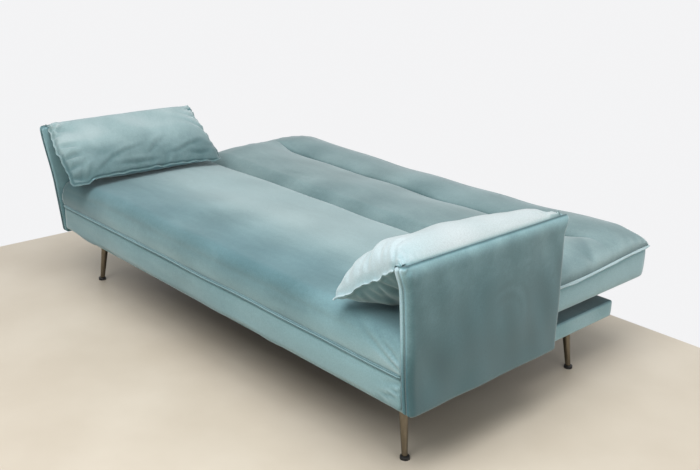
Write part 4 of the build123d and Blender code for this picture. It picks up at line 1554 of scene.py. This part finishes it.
@dataclass
class FlapCushion:
    """Soft cushion sewn along the top of an arm, hanging inwards over the seat.

    Attributes:
        side: End of the sofa that it hangs at.
        seat: The seat that it rests on.
        front: Depth of its front seam.
        rear: Depth of its rear seam.
        seam: Place of the seam that holds it to the arm, in x and z.
        flange: Width of the flat hem outside its seams.
        rows: Rows of its mesh across its width.
        half_gap: Half of the gap between its sheets along the seams.
        arm_face: Place along X that it keeps to beside the arm.
        arm_head: Height that it keeps to over the arm.
        rest_gap: Gap that it keeps over the seat.
    """

    side: Side
    seat: SeatUpholstery
    front: float = -0.6150
    rear: float = 0.0160
    seam: tuple[float, float] = (0.952, 0.6476)
    flange: float = 0.010
    rows: int = 64
    half_gap: float = 0.0017
    arm_face: float = 0.9275
    arm_head: float = 0.6475
    rest_gap: float = 0.0012

    @property
    def shape(self) -> FlapShape:
        """Return how this side's cushion lies."""
        return FLAP_SHAPES[self.side]

    @property
    def seed(self) -> int:
        """Return the first of this side's choices of pattern."""
        return 60 + 10 * self.side.value

    @property
    def length(self) -> float:
        """Return the distance between the end seams."""
        return self.rear - self.front

    @property
    def across(self) -> tuple[float, Array]:
        """Return the distance from the arm's seam to the free seam, and its direction in x and z."""
        reach = np.array(self.shape.tip) - np.array(self.seam)
        width = float(np.linalg.norm(reach))
        return width, reach / width

    def lay_out(self) -> FlapGrid:
        """Cut the double sheet and return where its vertices lie on the pattern."""
        middle = spread(self.length, fine=0.0020, coarse=0.0060, growth=1.25)
        stops = np.concatenate([[-self.flange], middle, [self.length + self.flange]])
        shares = np.append((1 - np.cos(np.linspace(0, np.pi, self.rows))) / 2, 1.0)
        sheet = Sheet.cut(f"flap_cushion_{self.side.word}", len(stops) - 1, len(shares) - 1)
        share, width = shares[sheet.row], self.across[0]
        y = self.front + stops[sheet.column]
        inside = np.clip(y, self.front, self.rear)
        from_front = inside - self.front
        return FlapGrid(
            sheet=sheet,
            y=inside + (y - inside) * ease(share, 0.01, 0.10),
            inside=inside,
            share=share,
            run=share * width,
            to_tip=(1 - share) * width,
            from_front=from_front,
            from_rear=self.rear - inside,
            front_half=from_front < self.length / 2,
            lip_row=sheet.row == len(shares) - 1,
            lip_ends=(sheet.column == 0) | (sheet.column == len(stops) - 1),
        )

    def fullness(self, grid: FlapGrid) -> tuple[Array, Array, Array]:
        """Return how full the section is, and how far each sheet stands off the line between the seams.

        Args:
            grid: The cushion's pattern.

        Returns:
            The fullness from 0 to 1, the rise of the upper sheet and the depth of the lower one.
        """
        shape, share = self.shape, grid.share
        by_arm = share < shape.fullest
        off = np.where(by_arm, 1 - share / shape.fullest, (share - shape.fullest) / (1 - shape.fullest))
        power = np.where(by_arm, *shape.roundness)
        bend = (1 - off**power) ** (1 / power)
        crown = shape.crown * (1 - shape.sag * bell(grid.inside + 0.165, 0.12))
        over = crown * bend * swell(grid.end, np.where(grid.front_half, *shape.end_reach), shape.end_power)
        hang = (1 - np.abs(2 * share**0.72 - 1) ** 2.6) ** (1 / 2.6)
        return bend, over, shape.belly * hang * swell(grid.end, 0.29, 1.35)

    def creases(self, grid: FlapGrid) -> tuple[Array, Array]:
        """Return the relief of the wrinkled cover.

        Args:
            grid: The cushion's pattern.

        Returns:
            Heights of the puckers and folds, and of the crumple where the end seams meet the arm.
        """
        shape, upper, width, seed = self.shape, grid.sheet.upper, self.across[0], self.seed
        puckers = np.zeros(len(grid.run))
        ends = ((grid.front_half, grid.from_front, 1), (~grid.front_half, grid.from_rear, 2))
        for (mask, depth, step), high in zip(ends, shape.gather):
            above = high * gathers(grid.run, depth, width, seed + step, spacing=0.038, reach=0.055)
            below = gathers(grid.run, depth, width, seed + step + 2, spacing=0.030, reach=0.100, lean=0.5)
            puckers += np.where(mask, np.where(upper, above, -0.0065 * below), 0)
        free = gathers(grid.y - self.front, grid.to_tip, self.length, seed + 5, spacing=0.055, reach=0.040)
        puckers += np.where(upper, 0.0040, -0.0040) * free
        for path in shape.folds:
            valley, ridge = fold(grid.places, path, 0.008), fold(grid.places + (0, 0.014), path, 0.012)
            puckers += np.where(upper, 0.0045 * ridge - 0.0060 * valley, 0)
        crumple = 0.0075 * ripple(grid.places, 0.024, seed + 7)
        return puckers, crumple * fade(grid.end, 0.028) * fade(grid.run, 0.036)

    def sway(self, grid: FlapGrid) -> Array:
        """Return how far the hems wander up and down.

        Args:
            grid: The cushion's pattern.

        Returns:
            One height for each vertex.
        """
        hem, seed = grid.run[:, None], self.seed
        wander = self.shape.ruffle * ripple(hem, 0.055, seed + 8) + 0.0020 * ripple(hem, 0.13, seed + 11)
        kinks = np.sign(ripple(hem, 0.10, seed + 12)) * np.abs(ripple(hem, 0.034, seed + 13)) ** 1.5
        wander = wander + 0.0016 * kinks * grid.lip_ends
        ends = wander * fade(grid.end, 0.012) * ease(grid.run, 0.01, 0.05)
        return ends + 0.0016 * ripple(grid.y[:, None], 0.085, seed + 9) * fade(grid.to_tip, 0.007)

    def place(self, grid: FlapGrid, rise: Array) -> Array:
        """Return where the vertices lie before the cushion rests on anything.

        Args:
            grid: The cushion's pattern.
            rise: How far each vertex stands off the line between the seams.

        Returns:
            Rows x, y, z on the right-hand side.
        """
        shape, slope = self.shape, self.across[1]
        upward, outward = np.array([slope[1], -slope[0]]), np.array([slope[0] - 0.2, slope[1] + 0.2])
        spot = np.array(self.seam) + grid.run[:, None] * slope + rise[:, None] * upward
        spot = spot + np.where(grid.lip_row, self.flange, 0)[:, None] * outward
        spot[grid.sewn] = (self.seam[0] + 0.0025, self.seam[1] - 0.0045)
        cut_off = np.where(grid.front_half, *shape.corner)
        cut_off = cut_off * fade(grid.end, 0.014) * fade(grid.to_tip, 0.020)
        spot -= cut_off[:, None] * slope
        droop = shape.droop[0] * (1 - ease(grid.from_front, 0.045, 0.068))
        droop = droop + shape.droop[1] * fade(grid.from_rear, 0.09)
        spot[:, 1] -= fade(grid.to_tip, 0.06) * droop
        spot[:, 0] += 0.006 * fade(grid.to_tip, 0.08) * np.sin(np.pi * grid.from_front / self.length)
        pull = 0.007 * fade(grid.end, 0.09) * np.sin(np.pi * grid.share)
        widen = fade(grid.run, 0.07) * fade(grid.end, 0.10)
        flare = np.where(grid.front_half, pull - shape.flare[0] * widen, shape.flare[1] * widen - pull)
        forward = shape.forward * ease(grid.share, 0.08, 0.50) * fade(grid.from_front, 0.12)
        return np.stack([spot[:, 0], grid.y + flare - forward, spot[:, 1]], 1)

    def keep_clear(self, points: Array, root: Array, soften: float = 0.0) -> Array:
        """Return points moved off the arm that carries the cushion and the seat that it rests on.

        Args:
            points: Rows x, y, z on the right-hand side.
            root: True for points that are sewn into the arm and stay.
            soften: Distance over which the cushion bends off the seat.

        Returns:
            The moved points.
        """
        x, y, z = points.T
        x = np.where((z < self.arm_head) & ~root, np.minimum(x, self.arm_face), x)
        z = np.where((x > self.arm_face) & ~root, np.maximum(z, self.arm_head), z)
        rest = self.seat.top_at(x, y) + self.rest_gap
        z = (z + rest + np.sqrt((z - rest) ** 2 + soften**2)) / 2
        return np.stack([x, y, z], 1)

    def nap(self, grid: FlapGrid, over: Array, puckers: Array, crumple: Array) -> tuple[Array, Array]:
        """Return the tone and the cast of the cushion's nap, with its painted light and shade.

        Args:
            grid: The cushion's pattern.
            over: Rise of its upper sheet.
            puckers: Heights of its puckers and folds.
            crumple: Heights of its crumple by the arm.

        Returns:
            One tone and one cast for each vertex.
        """
        upper, (by_arm, by_tip, gain) = grid.sheet.upper, self.shape.tone
        # Painted light and shade on the upper sheet, set by the arm, by the free edge and at the front end,
        # over a random drift of the nap.
        top = by_arm + (by_tip - by_arm) * ease(grid.share, 0.35, 0.90)
        top = top + gain * fade(grid.from_front, 0.06) * ease(grid.run, 0.02, 0.08)
        top = top + 0.08 * ripple(grid.places, 0.2, self.seed + 10)
        # Painted shade on the lower sheet, lighter near the free seam against its contact shadow.
        tone = np.where(upper, top, -0.20 + 0.6 * ease(grid.share, 0.80, 0.97))
        # Painted shade in the creases and the crumple, painted highlights on their ridges, and pale flanges,
        # partly sheen on their edges.
        tone = tone + np.clip(np.where(upper, 45, -30) * puckers, -0.45, 0.25)
        tone = tone + upper * np.clip(60 * crumple, -0.5, 0.2) + np.where(grid.lips, 0.15, 0)
        # Painted shade along the seams and at the root beside the arm, partly pile crushed by the seams.
        seam_shade = bell(grid.to_seam, 0.003) * ~grid.lips
        root = bell(np.hypot(grid.run, over), 0.004)
        # The cast paints the bluish tint of the shaded lower sheet and of the front of the upper sheet.
        cast = np.where(upper, 1.2 * gain * fade(grid.from_front, 0.08), 1.0)
        return tone - upper * (2.0 * root + 0.8 * seam_shade), cast

    def build(self) -> None:
        """Model the cushion with its flange, let its cover settle and dress it."""
        grid = self.lay_out()
        piece, upper = grid.sheet.piece, grid.sheet.upper
        bend, over, under = self.fullness(grid)
        puckers, crumple = self.creases(grid)
        lump = 0.0016 * ripple(grid.places, 0.16, self.seed + 6) * bend
        rise = np.where(upper, over + lump + self.half_gap, -under - self.half_gap)
        rise = rise + puckers + np.where(upper, crumple, 0) + self.sway(grid)
        mirror = np.array([self.side.value, 1, 1])
        move_points(piece, self.keep_clear(self.place(grid, rise), grid.sewn, 0.016) * mirror)
        held = (grid.lips | (grid.to_seam < 1e-4) | grid.sewn).astype(float)
        cover = ClothRun(pressure=2.0, slack=0.04, cap=0.008, bending=0.5)
        cover.settle(piece, held, fade(grid.to_seam, 0.06))
        move_points(piece, self.keep_clear(points_of(piece) * mirror, grid.sewn) * mirror)
        tone, cast = self.nap(grid, over, puckers, crumple)
        word = self.side.word
        upholster(piece, f"{word}_cushion", (f"{word}_arm_cushion",), tone, cast, rounded=True)


BACKDROP: Colour = (0.90, 0.90, 0.91, 1)


@dataclass(frozen=True)
class Lamp:
    """A square lamp that points at the sofa.

    Attributes:
        name: Name of the lamp.
        place: Where it hangs.
        size: Length of its sides.
        power: Its power in watts.
    """

    name: str
    place: tuple[float, float, float]
    size: float
    power: float

    def build(self) -> None:
        """Hang the lamp."""
        lamp = bpy.data.lights.new(self.name, "AREA")
        lamp.shape = "SQUARE"
        lamp.size = self.size
        lamp.energy = self.power
        holder = bpy.data.objects.new(self.name, lamp)
        bpy.context.scene.collection.objects.link(holder)
        heading = Vector((0, 0, 0.4)) - Vector(self.place)
        holder.location = self.place
        holder.rotation_euler = heading.to_track_quat("-Z", "Y").to_euler()


LAMPS = (
    Lamp("ceiling_lamp", (1.5, -0.8, 4.6), 2.8, 107.0),
    Lamp("front_lamp", (1.1, -3.2, 4.2), 2.4, 121.0),
    Lamp("side_lamp", (3.4, -0.5, 1.7), 2.0, 13.0),
)


@dataclass
class Studio:
    """Pale floor, soft light and the camera.

    Attributes:
        wall_y: Depth of the line behind the sofa where the floor ends.
        wall_x: Place of the line at its left where the floor ends.
        blur: Half width of those lines.
        camera_place: Where the camera stands.
        right: The camera's direction to the right.
        down: The camera's direction downwards.
        ahead: The camera's viewing direction.
        lens: Its focal length in millimetres.
        sensor: Width of its sensor in millimetres.
    """

    wall_y: float = 0.87
    wall_x: float = -1.485
    blur: float = 0.004
    camera_place: tuple[float, float, float] = (2.377, -2.1705, 1.460)
    right: tuple[float, float, float] = (0.6816, 0.7310, 0.0318)
    down: tuple[float, float, float] = (0.2626, -0.2039, -0.9431)
    ahead: tuple[float, float, float] = (-0.6829, 0.6512, -0.3310)
    lens: float = 47.37
    sensor: float = 36.0

    def build_floor(self) -> None:
        """Lay the floor, pale stone near the sofa and white beyond the wall lines."""
        clear_bench()
        bpy.ops.mesh.primitive_plane_add(size=40)
        floor = bpy.context.object
        floor.name = floor.data.name = "floor"
        stone, shades = Shades.of_material("floor_stone")
        place = shades.add("TexCoord").outputs["Object"]
        parts = shades.add("SeparateXYZ", {0: place}).outputs
        behind = shades.span(parts["Y"], self.wall_y - self.blur, self.wall_y + self.blur)
        beside = shades.span(parts["X"], self.wall_x + self.blur, self.wall_x - self.blur)
        white = shades.math("MAXIMUM", behind, beside)
        cloud = shades.span(shades.noise(place, 2.2, 5.0), 0.35, 0.65)
        pale = shades.blend(cloud, colour(200, 189, 172), colour(209, 199, 183))
        base = shades.blend(white, pale, colour(246, 246, 247))
        inputs = {"Base Color": base, "Roughness": 0.45, "Specular IOR Level": 0.2}
        matt = shades.add("BsdfPrincipled", inputs)
        glow = shades.add("Emission", {"Color": BACKDROP})
        share = shades.math("MULTIPLY", shades.seen(), white)
        shades.finish(shades.add("MixShader", {0: share, 1: matt.outputs[0], 2: glow.outputs[0]}))
        floor.data.materials.append(stone)

    def build_light(self) -> None:
        """Set a soft dome of light, brightest overhead, and hang the lamps."""
        world = bpy.data.worlds.new("studio")
        bpy.context.scene.world = world
        world.use_nodes = True
        shades = Shades(world.node_tree)
        height = shades.add("SeparateXYZ", {0: shades.add("TexCoord").outputs["Generated"]}).outputs["Z"]
        dome = shades.blend(shades.span(height, 0.0, 1.0), (0.26, 0.267, 0.274, 1), (0.58, 0.593, 0.606, 1))
        sky = shades.blend(shades.seen(), dome, BACKDROP)
        shades.finish(shades.add("Background", {"Color": sky, "Strength": 1.0}), "OutputWorld")
        for lamp in LAMPS:
            lamp.build()

    def build_camera(self) -> None:
        """Place the camera at the photograph's viewing angle."""
        data = bpy.data.cameras.new("view")
        data.sensor_width = self.sensor
        data.lens = self.lens
        holder = bpy.data.objects.new("view", data)
        bpy.context.scene.collection.objects.link(holder)
        right, up, back = Vector(self.right), -Vector(self.down), -Vector(self.ahead)
        turn = Matrix((right, up, back)).transposed().to_4x4()
        holder.matrix_world = Matrix.Translation(self.camera_place) @ turn
        bpy.context.scene.camera = holder

    def build(self) -> None:
        """Build the studio and set the plain view transform."""
        self.build_floor()
        self.build_light()
        self.build_camera()
        bpy.context.scene.view_settings.view_transform = "Standard"


def main() -> None:
    """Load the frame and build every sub-assembly in order."""
    logging.basicConfig(level=logging.INFO, format="%(name)s: %(message)s")
    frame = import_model()
    Studio().build()
    dress_frame(frame["nodes"])
    BaseCover().build()
    seat = SeatUpholstery()
    seat.build()
    BackUpholstery().build()
    for side in Side:
        ArmPanel(side).build()
        FlapCushion(side, seat).build()


if __name__ == "__main__":
    main()
